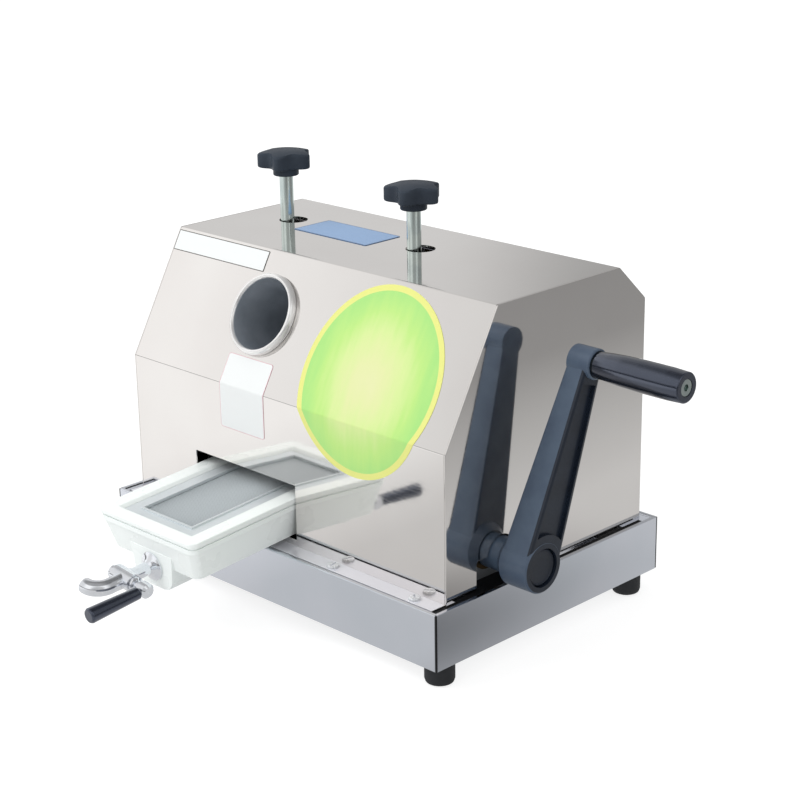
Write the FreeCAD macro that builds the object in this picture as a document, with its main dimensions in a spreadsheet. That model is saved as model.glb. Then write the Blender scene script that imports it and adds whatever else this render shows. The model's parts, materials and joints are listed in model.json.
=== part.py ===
import FreeCAD, Part
import math
import os
import re

import Sketcher

# Manual sugarcane juicer: a mirror-steel hood on a sheet base, three geared rollers, a hand crank on the
# right, two pressure knobs on top, a sloped feed mouth, and a pull-out juice tray with a swivelling tap.
# The origin is the centre of the base on the bench: +X is the crank side, +Y the back, +Z up.

SIZES = {
    # base tray, folded from sheet
    "base_side_gap": 8.2,
    "flange_gap": 0.5,
    "rear_gap": 14.3,
    "base_bottom": 17.0,
    "base_top": 64.0,
    "base_sheet": 1.5,
    "lip_width": 3.5,
    "lip_height": 2.0,
    "cross_flange": 20.0,
    "side_flange": 32.0,
    "deck_side_gap": 6.2,
    "deck_rear_gap": 13.2,
    "deck_sheet": 2.0,
    "deck_tab_width": 30.0,
    "deck_tab_spread": 85.0,
    "deck_rear_tab_x": 105.0,
    # rubber feet
    "foot_radius": 12.0,
    "foot_side_inset": 12.2,
    "foot_front_inset": 16.2,
    "foot_rear_inset": 25.2,
    # hood, folded from sheet
    "hood_half_width": 185.0,
    "hood_sheet": 1.5,
    "front_y": -114.3,
    "bend_z": 184.2,
    "slope_angle": 29.27,
    "slope_length": 118.06,
    "hood_top_end_y": 86.3,
    "rear_bend_z": 255.7,
    "bend_radius": 3.0,
    "front_flange": 15.9,
    "tray_gate_left_play": 1.7,
    "tray_gate_right_play": 1.1,
    "tray_gate_bottom": 68.5,
    "tray_gate_top": 116.0,
    "rod_hole_radius": 12.4,
    "rod_hole_shift_x": 3.4,
    "rod_hole_shift_y": 4.0,
    "outlet_left": -124.0,
    "outlet_right": 17.0,
    "outlet_bottom": 164.0,
    "outlet_top": 246.0,
    "panel_flange": 12.0,
    "notch_half_width": 27.8,
    "notch_top": 88.5,
    "notch_radius": 2.5,
    "notch_foot_radius": 5.0,
    "notch_clearance": 1.2,
    # feed mouth
    "feed_x": -47.5,
    "feed_s": 63.5,
    "feed_bore": 30.3,
    "feed_tube_radius": 32.5,
    "feed_rim_radius": 35.2,
    "feed_rim_height": 6.5,
    "feed_depth": 58.0,
    # cheeks that carry the rollers
    "left_cheek_x": -133.0,
    "tray_side_gap": 0.7,
    "cheek_thick": 10.0,
    "cheek_foot": 18.0,
    "cheek_foot_thick": 6.0,
    "cheek_top": 262.0,
    "cheek_front": 99.2,
    "cheek_back": 76.8,
    "cheek_front_step": 8.0,
    "cheek_back_step": 6.0,
    "cheek_front_foot_z": 120.0,
    "cheek_front_waist_z": 160.0,
    "cheek_front_top_z": 204.0,
    "cheek_back_foot_z": 146.0,
    "cheek_back_top_z": 196.0,
    "cheek_shoulder_z": 238.0,
    "window_half": 22.2,
    "window_floor": 198.0,
    "yoke_height": 14.0,
    "yoke_thick": 20.0,
    "yoke_half": 41.0,
    "tie_radius": 6.0,
    "front_tie_y": -62.0,
    "front_tie_z": 126.0,
    "rear_tie_y": 88.0,
    "rear_tie_z": 132.0,
    # rollers, shafts and bushes
    "rod_y": 21.2,
    "lower_axis_z": 165.9,
    "lower_spread": 36.5,
    "pair_distance": 64.0,
    "roller_radius": 31.0,
    "roller_left": -104.0,
    "roller_gap": 10.4,
    "flute_count": 24,
    "flute_depth": 1.6,
    "flute_half": 2.0,
    "shaft_radius": 10.0,
    "shaft_shoulder": 13.5,
    "running_gap": 0.06,
    "bush_radius": 14.0,
    "bush_flange_radius": 17.0,
    "bush_flange": 2.6,
    "shaft_left_end": -146.0,
    "shaft_right_end_out": 31.8,
    "drive_shaft_end_out": 47.0,
    # sliding bearing blocks of the top roller
    "block_half": 22.0,
    "block_below": 20.0,
    "block_above": 24.0,
    "block_cheek_half": 28.0,
    "block_cheek_thick": 4.4,
    "block_cheek_below": 14.0,
    "slot_throat": 6.3,
    "slot_pocket": 7.8,
    "slot_lip": 3.0,
    "slot_deep": 7.6,
    # gears
    "roller_gear_module": 4.0,
    "roller_gear_teeth": 16,
    "roller_gear_play": 2.3,
    "roller_gear_out": 14.6,
    "roller_gear_width": 15.0,
    "drive_module": 3.0,
    "drive_teeth": 44,
    "pinion_teeth": 14,
    "drive_play": 0.36,
    "drive_gear_out": 33.0,
    "drive_gear_width": 10.5,
    "pinion_out": 31.6,
    "pinion_width": 13.4,
    # crank
    "crank_axis_y": -52.6,
    "crank_shaft_inset": 2.6,
    "crank_shaft_end_out": 33.0,
    "crank_shaft_shoulder": 12.5,
    "stand_inset": 27.0,
    "stand_thick": 10.0,
    "stand_half": 24.0,
    "stand_foot": 22.0,
    "stand_foot_thick": 6.0,
    "arm_lean": 17.55,
    "arm_length": 160.0,
    "arm_splay": 3.0,
    "arm_back_hub_out": 14.5,
    "arm_back_eye_out": 32.2,
    "arm_front_hub_out": 41.8,
    "arm_half_hub": 19.5,
    "arm_half_eye": 10.2,
    "arm_round": 2.4,
    "arm_recess": 3.0,
    "arm_rim": 3.6,
    "arm_recess_start": 26.4,
    "hub_radius": 20.6,
    "hub_back_out": 16.0,
    "hub_front_out": 43.0,
    "hub_cone": 6.0,
    "hub_recess_radius": 15.5,
    "hub_recess": 4.5,
    "collar_radius": 14.0,
    "collar_inset": 11.0,
    "eye_radius": 12.0,
    "eye_front_out": 53.4,
    "eye_round": 1.6,
    "spindle_radius": 5.0,
    "spindle_collar_radius": 8.5,
    "spindle_head_radius": 6.4,
    "spindle_head": 8.0,
    "spindle_socket": 2.9,
    "grip_start_out": 54.6,
    "grip_end_out": 135.0,
    "grip_radius": 12.4,
    "grip_root_radius": 10.3,
    "grip_edge_radius": 11.8,
    # pressure screws and knobs
    "rod_radius": 6.0,
    "screw_collar_radius": 7.5,
    "screw_collar": 4.0,
    "left_knob_z": 327.4,
    "right_knob_z": 320.6,
    "knob_collar_radius": 11.2,
    "knob_collar": 7.0,
    "knob_height": 15.4,
    "knob_lobes": 5,
    "knob_lobe_pitch": 17.5,
    "knob_lobe_radius": 7.1,
    "knob_valley": 13.0,
    "knob_round": 1.6,
    "left_knob_turn": -5.0,
    "right_knob_turn": -12.0,
    "knob_dish_radius": 9.5,
    "knob_dish": 0.8,
    # juice tray, lid and strainer, in the tray's own leaning frame
    "tray_x": -44.5,
    "tray_rim_z": 104.8,
    "tray_tilt": 4.5,
    "tray_front": -107.3,
    "tray_back": 206.0,
    "tray_half": 60.8,
    "tray_band_inset": 0.8,
    "tray_band_top": -6.0,
    "tray_band_bottom": -10.0,
    "tray_wall": 2.0,
    "tray_floor": -35.0,
    "tray_draught": 5.3,
    "tray_corner": 7.0,
    "tray_inner_corner": 5.0,
    "tray_corner_leg": 3.2,
    "sump_half": 26.0,
    "sump_floor": -54.8,
    "sump_front": -103.0,
    "sump_back": -33.0,
    "lid_flange": 4.2,
    "lid_groove": 1.6,
    "lid_skirt": 3.0,
    "gate_half": 43.9,
    "gate_front": -93.0,
    "gate_back": 194.0,
    "gate_ledge": 3.4,
    "strainer_sheet": 1.5,
    "strainer_bead_half": 32.5,
    "strainer_bead_front": -84.5,
    "strainer_bead_back": 185.5,
    "strainer_bead": 2.2,
    "strainer_slot_half": 27.0,
    "strainer_slot_width": 3.0,
    "strainer_slot_pitch": 8.0,
    "strainer_slots": 32,
    # tap, in a frame on its plug that leans with the tray
    "tap_z": -37.1,
    "tap_reach": 22.9,
    "tap_roll": 6.0,
    "tap_face": 27.0,
    "tap_flange_radius": 12.2,
    "tap_neck_radius": 5.6,
    "tap_barrel_radius": 8.0,
    "tap_barrel_half": 11.0,
    "tap_inlet_radius": 5.0,
    "tap_inlet_bore": 3.8,
    "tap_plug_radius": 5.0,
    "spout_radius": 6.5,
    "spout_bore": 4.8,
    "spout_bend": 13.0,
    "spout_start": -9.0,
    "spout_turn": -16.0,
    "spout_lip": 1.4,
    "lever_hub_radius": 6.2,
    "lever_hub_start": 18.5,
    "lever_hub_end": 29.5,
    "lever_length": 50.0,
    "tap_grip_start": -6.8,
    "tap_grip_end": -55.0,
    "nut_flats_radius": 9.8,
    "nut_thick": 4.5,
    # cradle under the tray
    "cradle_left": -92.0,
    "cradle_right": 3.0,
    "cradle_rib": 6.0,
    "cradle_front": -106.0,
    "cradle_back": 77.0,
    # chute and apron
    "chute_sheet": 2.0,
    "chute_start": 81.5,
    "chute_start_z": 188.6,
    "chute_edge": 97.0,
    "chute_edge_z": 182.9,
    "chute_end": 131.0,
    "chute_end_z": 170.4,
    "chute_side_gap": 4.0,
    "chute_edge_top": 206.0,
    "chute_end_top": 182.0,
    "apron_sheet": 3.0,
    "apron_start": 26.0,
    "apron_end": 60.0,
    "apron_drop": 34.0,
}

os.makedirs("parts", exist_ok=True)
doc = FreeCAD.newDocument("sugarcane_juicer")
sheet = doc.addObject("Spreadsheet::Sheet", "Sizes")
for row, (alias, number) in enumerate(SIZES.items(), start=1):
    sheet.set(f"A{row}", alias)
    sheet.set(f"B{row}", str(number))
    sheet.setAlias(f"B{row}", alias)
doc.recompute()

# heights and depths that follow from the sheet
TOP_Z = "(lower_axis_z + sqrt(pair_distance ^ 2 - lower_spread ^ 2))"
FRONT_Y = "(rod_y - lower_spread)"
BACK_Y = "(rod_y + lower_spread)"
DRIVE_DISTANCE = "(drive_module * (drive_teeth + pinion_teeth) / 2)"
CRANK_Z = f"(lower_axis_z - sqrt({DRIVE_DISTANCE} ^ 2 - (crank_axis_y - {FRONT_Y}) ^ 2))"
FLANGE_Y = "(front_y - front_flange)"
BASE_WIDE = "(hood_half_width + base_side_gap)"
BASE_DEEP = "(front_flange + lip_width + flange_gap - front_y)"
REAR_Y = f"({BASE_DEEP} - rear_gap)"
DECK_WIDE = f"({BASE_WIDE} - deck_side_gap)"
DECK_REAR = f"({BASE_DEEP} - deck_rear_gap)"
FOOT_X = f"({BASE_WIDE} - foot_side_inset)"
FOOT_FRONT = f"(foot_front_inset - {BASE_DEEP})"
FOOT_REAR = f"({BASE_DEEP} - foot_rear_inset)"
CHEEK_FRONT = "(rod_y - cheek_front)"
CHEEK_BACK = "(rod_y + cheek_back)"
ARM_BACK_HUB = "(hood_half_width + arm_back_hub_out)"
ARM_BACK_EYE = "(hood_half_width + arm_back_eye_out)"
ARM_FRONT_HUB = "(hood_half_width + arm_front_hub_out)"
HUB_BACK = "(hood_half_width + hub_back_out)"
HUB_FRONT = "(hood_half_width + hub_front_out)"
EYE_FRONT = "(hood_half_width + eye_front_out)"
GRIP_START = "(hood_half_width + grip_start_out)"
GRIP_END = "(hood_half_width + grip_end_out)"
CRANK_SHAFT_END = "(hood_half_width + crank_shaft_end_out)"
COLLAR_BACK = "(hood_half_width - collar_inset)"
STAND_X = "(hood_half_width - stand_inset)"
RIGHT_CHEEK = "(tray_x + tray_half + tray_side_gap + cheek_thick / 2)"
ROLLER_RIGHT = f"({RIGHT_CHEEK} - roller_gap)"
SHAFT_RIGHT_END = f"({RIGHT_CHEEK} + shaft_right_end_out)"
DRIVE_SHAFT_END = f"({RIGHT_CHEEK} + drive_shaft_end_out)"
ROLLER_GEAR_X = f"({RIGHT_CHEEK} + roller_gear_out)"
DRIVE_GEAR_X = f"({RIGHT_CHEEK} + drive_gear_out)"
PINION_X = f"({RIGHT_CHEEK} + pinion_out)"
CRANK_SHAFT_START = f"({RIGHT_CHEEK} - crank_shaft_inset)"
GATE_LEFT = "(tray_x - tray_half - tray_gate_left_play)"
GATE_RIGHT = "(tray_x + tray_half + tray_gate_right_play)"
SLOPE_Y = "(front_y + slope_length * sin(slope_angle))"
HOOD_TOP = "(bend_z + slope_length * cos(slope_angle))"
FEED_Y = "(front_y + feed_s * sin(slope_angle))"
FEED_Z = "(bend_z + feed_s * cos(slope_angle))"
DECK_TOP = "(base_top - lip_height)"
NODES = {}


def cells(text):
    """Put the sheet's name in front of each alias in an expression."""
    return re.sub(r"[a-z][a-z_]*", lambda word: "Sizes." + word[0] if word[0] in SIZES else word[0], text)


def value(text):
    """Work out an expression of aliases."""
    result = sheet.evalExpression(cells(str(text)))
    return float(getattr(result, "Value", result))


def bind(thing, **sizes):
    """Bind properties to the sheet."""
    for name, text in sizes.items():
        thing.setExpression(name, cells(text))
    return thing


def put(thing, x="0", y="0", z="0", axis=(1, 0, 0), angle="0"):
    """Place a piece, with its place and its turn bound to the sheet."""
    turn = FreeCAD.Rotation(FreeCAD.Vector(*axis), value(angle))
    thing.Placement = FreeCAD.Placement(FreeCAD.Vector(value(x), value(y), value(z)), turn)
    for name, text in (("x", x), ("y", y), ("z", z)):
        thing.setExpression(f"Placement.Base.{name}", cells(text))
    if angle != "0":
        thing.setExpression("Placement.Rotation.Angle", cells(angle))
    return thing


def new_body(name):
    """Start a named solid."""
    return doc.addObject("PartDesign::Body", name)


def keep(name, thing):
    """Make a thing one of the named pieces."""
    thing.Label = name
    NODES[name] = thing
    return thing


def draw(body, plane, offset, polygons=(), circles=(), splay="0"):
    """Draw closed outlines and circles on one of a body's own planes, each corner bound to the sheet."""
    sketch = body.newObject("Sketcher::SketchObject", body.Name + "_outline")
    origin = [item for item in body.Origin.OriginFeatures if item.Role == plane][0]
    sketch.AttachmentSupport = (origin, [""])
    sketch.MapMode = "FlatFace"
    lean = FreeCAD.Rotation(FreeCAD.Vector(1, 0, 0), value(splay))
    sketch.AttachmentOffset = FreeCAD.Placement(FreeCAD.Vector(0, 0, value(offset)), lean)
    sketch.setExpression("AttachmentOffset.Base.z", cells(offset))
    if splay != "0":
        sketch.setExpression("AttachmentOffset.Rotation.Angle", cells(splay))

    def fix(kind, geometry, point, text):
        number = sketch.addConstraint(Sketcher.Constraint(kind, -1, 1, geometry, point, value(text)))
        sketch.setExpression(f"Constraints[{number}]", cells(text))

    for corners in polygons:
        spots = [FreeCAD.Vector(value(u), value(v), 0) for u, v in corners]
        first = sketch.GeometryCount
        count = len(spots)
        for step in range(count):
            sketch.addGeometry(Part.LineSegment(spots[step], spots[(step + 1) % count]), False)
        for step in range(count):
            following = first + (step + 1) % count
            sketch.addConstraint(Sketcher.Constraint("Coincident", first + step, 2, following, 1))
        for step, (u, v) in enumerate(corners):
            fix("DistanceX", first + step, 1, u)
            fix("DistanceY", first + step, 1, v)
    for u, v, radius in circles:
        circle = Part.Circle(FreeCAD.Vector(value(u), value(v), 0), FreeCAD.Vector(0, 0, 1), value(radius))
        ring = sketch.addGeometry(circle, False)
        fix("DistanceX", ring, 3, u)
        fix("DistanceY", ring, 3, v)
        number = sketch.addConstraint(Sketcher.Constraint("Radius", ring, value(radius)))
        sketch.setExpression(f"Constraints[{number}]", cells(radius))
    return sketch


def rectangle(left, right, low, high):
    """Corners of an upright rectangle."""
    return [(left, low), (right, low), (right, high), (left, high)]


def soft_rectangle(left, right, low, high, radius):
    """Corners of an upright rectangle with each corner rounded off in two steps."""
    short = f"{radius} * (1 - sqrt(0.5))"
    return [
        (f"{left} + {radius}", low),
        (f"{right} - {radius}", low),
        (f"{right} - {short}", f"{low} + {short}"),
        (right, f"{low} + {radius}"),
        (right, f"{high} - {radius}"),
        (f"{right} - {short}", f"{high} - {short}"),
        (f"{right} - {radius}", high),
        (f"{left} + {radius}", high),
        (f"{left} + {short}", f"{high} - {short}"),
        (left, f"{high} - {radius}"),
        (left, f"{low} + {radius}"),
        (f"{left} + {short}", f"{low} + {short}"),
    ]


def pad(body, sketch, length, back=False, middle=False):
    """Raise a sketch into metal along its plane's normal, or the other way."""
    feature = body.newObject("PartDesign::Pad", body.Name + "_pad")
    feature.Profile = sketch
    feature.Reversed = back
    feature.Midplane = middle
    return bind(feature, Length=length)


def pocket(body, sketch, length, back=False):
    """Cut a sketch into the metal against its plane's normal, or along it, and check that it bites."""
    doc.recompute()
    before = body.Shape.Volume
    feature = body.newObject("PartDesign::Pocket", body.Name + "_pocket")
    feature.Profile = sketch
    feature.Reversed = back
    bind(feature, Length=length)
    doc.recompute()
    if body.Shape.Volume > before - 1.0:
        raise SystemExit(f"a cut in {body.Name} takes nothing away")
    return feature


def turn(body, plane, axis, points):
    """Turn a closed profile about one of its sketch's axes."""
    sketch = draw(body, plane, "0", [points])
    feature = body.newObject("PartDesign::Revolution", body.Name + "_turned")
    feature.Profile = sketch
    feature.ReferenceAxis = (sketch, [axis])
    feature.Angle = 360
    return feature


def round_edges(body, radius, chosen):
    """Round the edges that a test picks."""
    doc.recompute()
    names = [f"Edge{number}" for number, edge in enumerate(body.Shape.Edges, start=1) if chosen(edge)]
    if not names:
        raise SystemExit(f"no edge to round in {body.Name}")
    tip = body.Tip
    feature = body.newObject("PartDesign::Fillet", body.Name + "_round")
    feature.Base = (tip, names)
    bind(feature, Radius=radius)
    doc.recompute()
    if "Invalid" in feature.State:
        raise SystemExit(f"edges of {body.Name} can't be rounded: {names}")
    return feature


def along_x(spots):
    """A test for edges that run along X through given places in Y and Z."""
    places = [(value(y), value(z)) for y, z in spots]

    def chosen(edge):
        if len(edge.Vertexes) != 2:
            return False
        a, b = (vertex.Point for vertex in edge.Vertexes)
        near = any(abs(a.y - y) < 0.01 and abs(a.z - z) < 0.01 for y, z in places)
        return near and abs(a.y - b.y) < 0.01 and abs(a.z - b.z) < 0.01

    return chosen


def upright(low, high):
    """A test for straight edges that rise from one height to another."""
    levels = (value(low), value(high))

    def chosen(edge):
        heights = sorted(vertex.Z for vertex in edge.Vertexes)
        return len(heights) == 2 and abs(heights[0] - levels[0]) < 0.01 and abs(heights[1] - levels[1]) < 0.01

    return chosen


def ring_at(radius, x):
    """A test for whole circles of one radius in a plane across X."""
    size = value(radius)
    place = value(x)

    def chosen(edge):
        whole = edge.isClosed() and isinstance(edge.Curve, Part.Circle)
        return whole and abs(edge.Curve.Radius - size) < 0.01 and abs(edge.Curve.Center.x - place) < 0.01

    return chosen


def block(name, x, y, z, length, width, height):
    """A plain box bound to the sheet."""
    box = doc.addObject("Part::Box", name)
    bind(box, Length=length, Width=width, Height=height)
    return put(box, x, y, z)


def bar(name, radius, length, x, y, z, axis=(1, 0, 0), angle="0"):
    """A plain round bar bound to the sheet."""
    cylinder = doc.addObject("Part::Cylinder", name)
    bind(cylinder, Radius=radius, Height=length)
    return put(cylinder, x, y, z, axis, angle)


def joined(kind, name, base, tool):
    """Join or cut two plain solids."""
    result = doc.addObject(kind, name)
    result.Base = base
    result.Tool = tool
    return result


# Base: four folded rails, a deck that shows a dark gap round its edge, and four rubber feet.
for name, side in (("base_front_panel", ""), ("base_rear_panel", "-")):
    rail = new_body(name)
    outer = f"{side}(-{BASE_DEEP})"
    profile = [
        (outer, "base_bottom"),
        (f"{side}(-{BASE_DEEP} + cross_flange)", "base_bottom"),
        (f"{side}(-{BASE_DEEP} + cross_flange)", "base_bottom + base_sheet"),
        (f"{side}(-{BASE_DEEP} + base_sheet)", "base_bottom + base_sheet"),
        (f"{side}(-{BASE_DEEP} + base_sheet)", DECK_TOP),
        (f"{side}(-{BASE_DEEP} + lip_width)", DECK_TOP),
        (f"{side}(-{BASE_DEEP} + lip_width)", "base_top"),
        (outer, "base_top"),
    ]
    pad(rail, draw(rail, "YZ_Plane", "0", [profile]), f"2 * ({BASE_WIDE} - base_sheet)", middle=True)
    round_edges(rail, "1.2", along_x([(outer, "base_top")]))
    keep(name, rail)
for name, side in (("base_left_rail", ""), ("base_right_rail", "-")):
    rail = new_body(name)
    wall = f"{side}(-{BASE_WIDE})"
    inner = f"{side}(-{BASE_WIDE} + base_sheet)"
    lip = f"{side}(-{BASE_WIDE} + lip_width)"
    shelf = f"{side}(-{BASE_WIDE} + side_flange)"
    full = rectangle(wall, inner, "base_bottom", "base_top")
    pad(rail, draw(rail, "XZ_Plane", "0", [full]), f"2 * {BASE_DEEP}", middle=True)
    top = rectangle(inner, lip, DECK_TOP, "base_top")
    pad(rail, draw(rail, "XZ_Plane", "0", [top]), f"2 * ({BASE_DEEP} - lip_width)", middle=True)
    flange = rectangle(inner, shelf, "base_bottom", "base_bottom + base_sheet")
    pad(rail, draw(rail, "XZ_Plane", "0", [flange]), f"2 * ({BASE_DEEP} - cross_flange)", middle=True)
    keep(name, rail)

deck = new_body("base_deck")
plate = [(f"-{DECK_WIDE}", f"-{BASE_DEEP} + base_sheet")]
for sign, order in (("", (-1, 0, 1)), ("-", (1, 0, -1))):
    edge = DECK_WIDE if sign == "" else f"-{DECK_WIDE}"
    wall = f"{BASE_WIDE} - base_sheet" if sign == "" else f"-({BASE_WIDE} - base_sheet)"
    corners = []
    for place in order:
        step = "-" if sign == "" else "+"
        other = "+" if sign == "" else "-"
        near = f"deck_tab_spread * {place} {step} deck_tab_width / 2"
        far = f"deck_tab_spread * {place} {other} deck_tab_width / 2"
        corners += [(edge, near), (wall, near), (wall, far), (edge, far)]
    if sign == "":
        plate.append((DECK_WIDE, f"-{BASE_DEEP} + base_sheet"))
        plate += corners
        plate.append((DECK_WIDE, DECK_REAR))
        for centre in ("deck_rear_tab_x", "-deck_rear_tab_x"):
            plate += [
                (f"{centre} + deck_tab_width / 2", DECK_REAR),
                (f"{centre} + deck_tab_width / 2", f"{BASE_DEEP} - base_sheet"),
                (f"{centre} - deck_tab_width / 2", f"{BASE_DEEP} - base_sheet"),
                (f"{centre} - deck_tab_width / 2", DECK_REAR),
            ]
        plate.append((f"-{DECK_WIDE}", DECK_REAR))
    else:
        plate += corners
pad(deck, draw(deck, "XY_Plane", DECK_TOP + " - deck_sheet", [plate]), "deck_sheet")
keep("base_deck", deck)

for name, x, y in (
    ("foot_front_left", f"-{FOOT_X}", FOOT_FRONT),
    ("foot_front_right", FOOT_X, FOOT_FRONT),
    ("foot_rear_left", f"-{FOOT_X}", FOOT_REAR),
    ("foot_rear_right", FOOT_X, FOOT_REAR),
):
    foot = new_body(name)
    shape = [
        ("0", "0"),
        ("foot_radius * 0.68", "0"),
        ("foot_radius * 0.92", "foot_radius * 0.12"),
        ("foot_radius", "foot_radius * 0.36"),
        ("foot_radius", "base_bottom"),
        ("0", "base_bottom"),
    ]
    turn(foot, "XZ_Plane", "V_Axis", shape)
    keep(name, put(foot, x, y, "0"))

# Hood: one sheet folded over the front, the slope, the top and the back, with two end panels.
OUTLINE = [
    ("front_y", DECK_TOP),
    ("front_y", "bend_z"),
    (SLOPE_Y, HOOD_TOP),
    ("hood_top_end_y", HOOD_TOP),
    (REAR_Y, "rear_bend_z"),
    (REAR_Y, DECK_TOP),
]
REAR_ANGLE = f"atan2({HOOD_TOP} - rear_bend_z; {REAR_Y} - hood_top_end_y)"
INLINE = [
    (f"{REAR_Y} - hood_sheet", DECK_TOP),
    (f"{REAR_Y} - hood_sheet", f"rear_bend_z - hood_sheet * tan((90 deg - {REAR_ANGLE}) / 2)"),
    (f"hood_top_end_y - hood_sheet * tan({REAR_ANGLE} / 2)", f"{HOOD_TOP} - hood_sheet"),
    (f"{SLOPE_Y} + hood_sheet * tan((90 - slope_angle) / 2)", f"{HOOD_TOP} - hood_sheet"),
    ("front_y + hood_sheet", "bend_z - hood_sheet * tan(slope_angle / 2)"),
    ("front_y + hood_sheet", DECK_TOP),
]
FLANGE = [
    (FLANGE_Y, DECK_TOP),
    (FLANGE_Y, DECK_TOP + " + hood_sheet"),
    ("front_y", DECK_TOP + " + hood_sheet"),
]
hood = new_body("hood_folded")
ring = OUTLINE[1:] + INLINE + FLANGE
pad(hood, draw(hood, "YZ_Plane", "0", [ring]), "2 * (hood_half_width - hood_sheet)", middle=True)
round_edges(hood, "bend_radius", along_x(OUTLINE[1:5]))
round_edges(hood, "bend_radius - hood_sheet", along_x(INLINE[1:5]))
gate = rectangle(GATE_LEFT, GATE_RIGHT, "tray_gate_bottom", "tray_gate_top")
pocket(hood, draw(hood, "XZ_Plane", "140", [gate]), "40")
outlet = rectangle("outlet_left", "outlet_right", "outlet_bottom", "outlet_top")
pocket(hood, draw(hood, "XZ_Plane", "-100", [outlet]), "40")
rods = [
    (f"{x} + rod_hole_shift_x", "rod_y + rod_hole_shift_y", "rod_hole_radius")
    for x in ("left_cheek_x", RIGHT_CHEEK)
]
pocket(hood, draw(hood, "XY_Plane", HOOD_TOP + " + 10", circles=rods), "20")
mouth = bar(
    "mouth_hole",
    "feed_tube_radius + 0.2",
    "40",
    "feed_x",
    FEED_Y + " + 20 * cos(slope_angle)",
    FEED_Z + " - 20 * sin(slope_angle)",
    (1, 0, 0),
    "90 - slope_angle",
)
keep("hood_shell", joined("Part::Cut", "hood_cut", hood, mouth))

side_starts = (("left_side_panel", "-hood_half_width"), ("right_side_panel", "hood_half_width - hood_sheet"))
for name, start in side_starts:
    panel = new_body(name)
    outline = list(OUTLINE)
    if name == "right_side_panel":
        front = "crank_axis_y - notch_half_width"
        back = "crank_axis_y + notch_half_width"
        outline += [(back, DECK_TOP), (back, "notch_top"), (front, "notch_top"), (front, DECK_TOP)]
    pad(panel, draw(panel, "YZ_Plane", start, [outline]), "hood_sheet")
    round_edges(panel, "bend_radius", along_x(OUTLINE[1:5]))
    inside = "hood_half_width - hood_sheet"
    if name == "right_side_panel":
        round_edges(panel, "notch_radius", along_x([(back, "notch_top"), (front, "notch_top")]))
        round_edges(panel, "notch_foot_radius", along_x([(back, DECK_TOP), (front, DECK_TOP)]))
        shaft_way = [("crank_axis_y", CRANK_Z, "collar_radius + notch_clearance")]
        pocket(panel, draw(panel, "YZ_Plane", f"{start} - 1", circles=shaft_way), "hood_sheet + 2", back=True)
        pieces = [
            rectangle(f"{inside} - panel_flange", inside, "front_y + 4", f"{front} - 6"),
            rectangle(f"{inside} - panel_flange", inside, f"{back} + 6", f"{REAR_Y} - 4"),
        ]
    else:
        pieces = [rectangle(f"-({inside})", f"-({inside}) + panel_flange", "front_y + 4", f"{REAR_Y} - 4")]
    pad(panel, draw(panel, "XY_Plane", DECK_TOP, pieces), "hood_sheet")
    keep(name, panel)

tube = new_body("feed_tube")
rim = [
    ("feed_bore", "-feed_depth"),
    ("feed_tube_radius", "-feed_depth"),
    ("feed_tube_radius", "0"),
    ("feed_rim_radius - 0.6", "0"),
    ("feed_rim_radius", "feed_rim_height * 0.3"),
    ("feed_rim_radius - 0.5", "feed_rim_height * 0.72"),
    ("feed_rim_radius - 2", "feed_rim_height"),
    ("feed_bore + 1.2", "feed_rim_height"),
    ("feed_bore", "feed_rim_height * 0.7"),
]
turn(tube, "XZ_Plane", "V_Axis", rim)
keep("feed_tube", put(tube, "feed_x", FEED_Y, FEED_Z, (1, 0, 0), "90 - slope_angle"))

# Cheeks: two thick plates with a foot flange, lower bush seats and an open window for the top block.
CHEEK = [
    (CHEEK_FRONT, DECK_TOP),
    (CHEEK_BACK, DECK_TOP),
    (CHEEK_BACK, "cheek_back_foot_z"),
    (CHEEK_BACK + " - cheek_back_step", "cheek_back_top_z"),
    ("rod_y + yoke_half", "cheek_shoulder_z"),
    ("rod_y + yoke_half", "cheek_top"),
    ("rod_y + window_half", "cheek_top"),
    ("rod_y + window_half", "window_floor"),
    ("rod_y - window_half", "window_floor"),
    ("rod_y - window_half", "cheek_top"),
    ("rod_y - yoke_half", "cheek_top"),
    ("rod_y - yoke_half", "cheek_shoulder_z"),
    (CHEEK_FRONT + " + 2 * cheek_front_step", "cheek_front_top_z"),
    (CHEEK_FRONT + " + cheek_front_step", "cheek_front_waist_z"),
    (CHEEK_FRONT, "cheek_front_foot_z"),
]
foot_span = (CHEEK_FRONT + " + cheek_front_step", CHEEK_BACK + " - cheek_back_step")
for name, middle in (("left_cheek", "left_cheek_x"), ("right_cheek", RIGHT_CHEEK)):
    cheek = new_body(name)
    seats = [(FRONT_Y, "lower_axis_z", "bush_radius"), (BACK_Y, "lower_axis_z", "bush_radius")]
    if name == "right_cheek":
        seats.append(("crank_axis_y", CRANK_Z, "shaft_radius + running_gap"))
    pad(cheek, draw(cheek, "YZ_Plane", f"{middle} - cheek_thick / 2", [CHEEK], seats), "cheek_thick")
    if name == "left_cheek":
        face = f"{middle} - cheek_thick / 2"
        foot = rectangle(f"{face} - cheek_foot", face, *foot_span)
    else:
        face = f"{middle} + cheek_thick / 2"
        foot = rectangle(face, f"{face} + cheek_foot", *foot_span)
    pad(cheek, draw(cheek, "XY_Plane", DECK_TOP, [foot]), "cheek_foot_thick")
    keep(name, cheek)
    yoke_name = name.replace("cheek", "yoke")
    lump = block(
        yoke_name + "_bar",
        f"{middle} - yoke_thick / 2",
        "rod_y - yoke_half",
        "cheek_top",
        "yoke_thick",
        "2 * yoke_half",
        "yoke_height",
    )
    hole = bar(yoke_name + "_hole", "rod_radius + running_gap", "40", middle, "rod_y", "cheek_top - 10")
    keep(yoke_name, joined("Part::Cut", yoke_name + "_cut", lump, hole))

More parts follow.
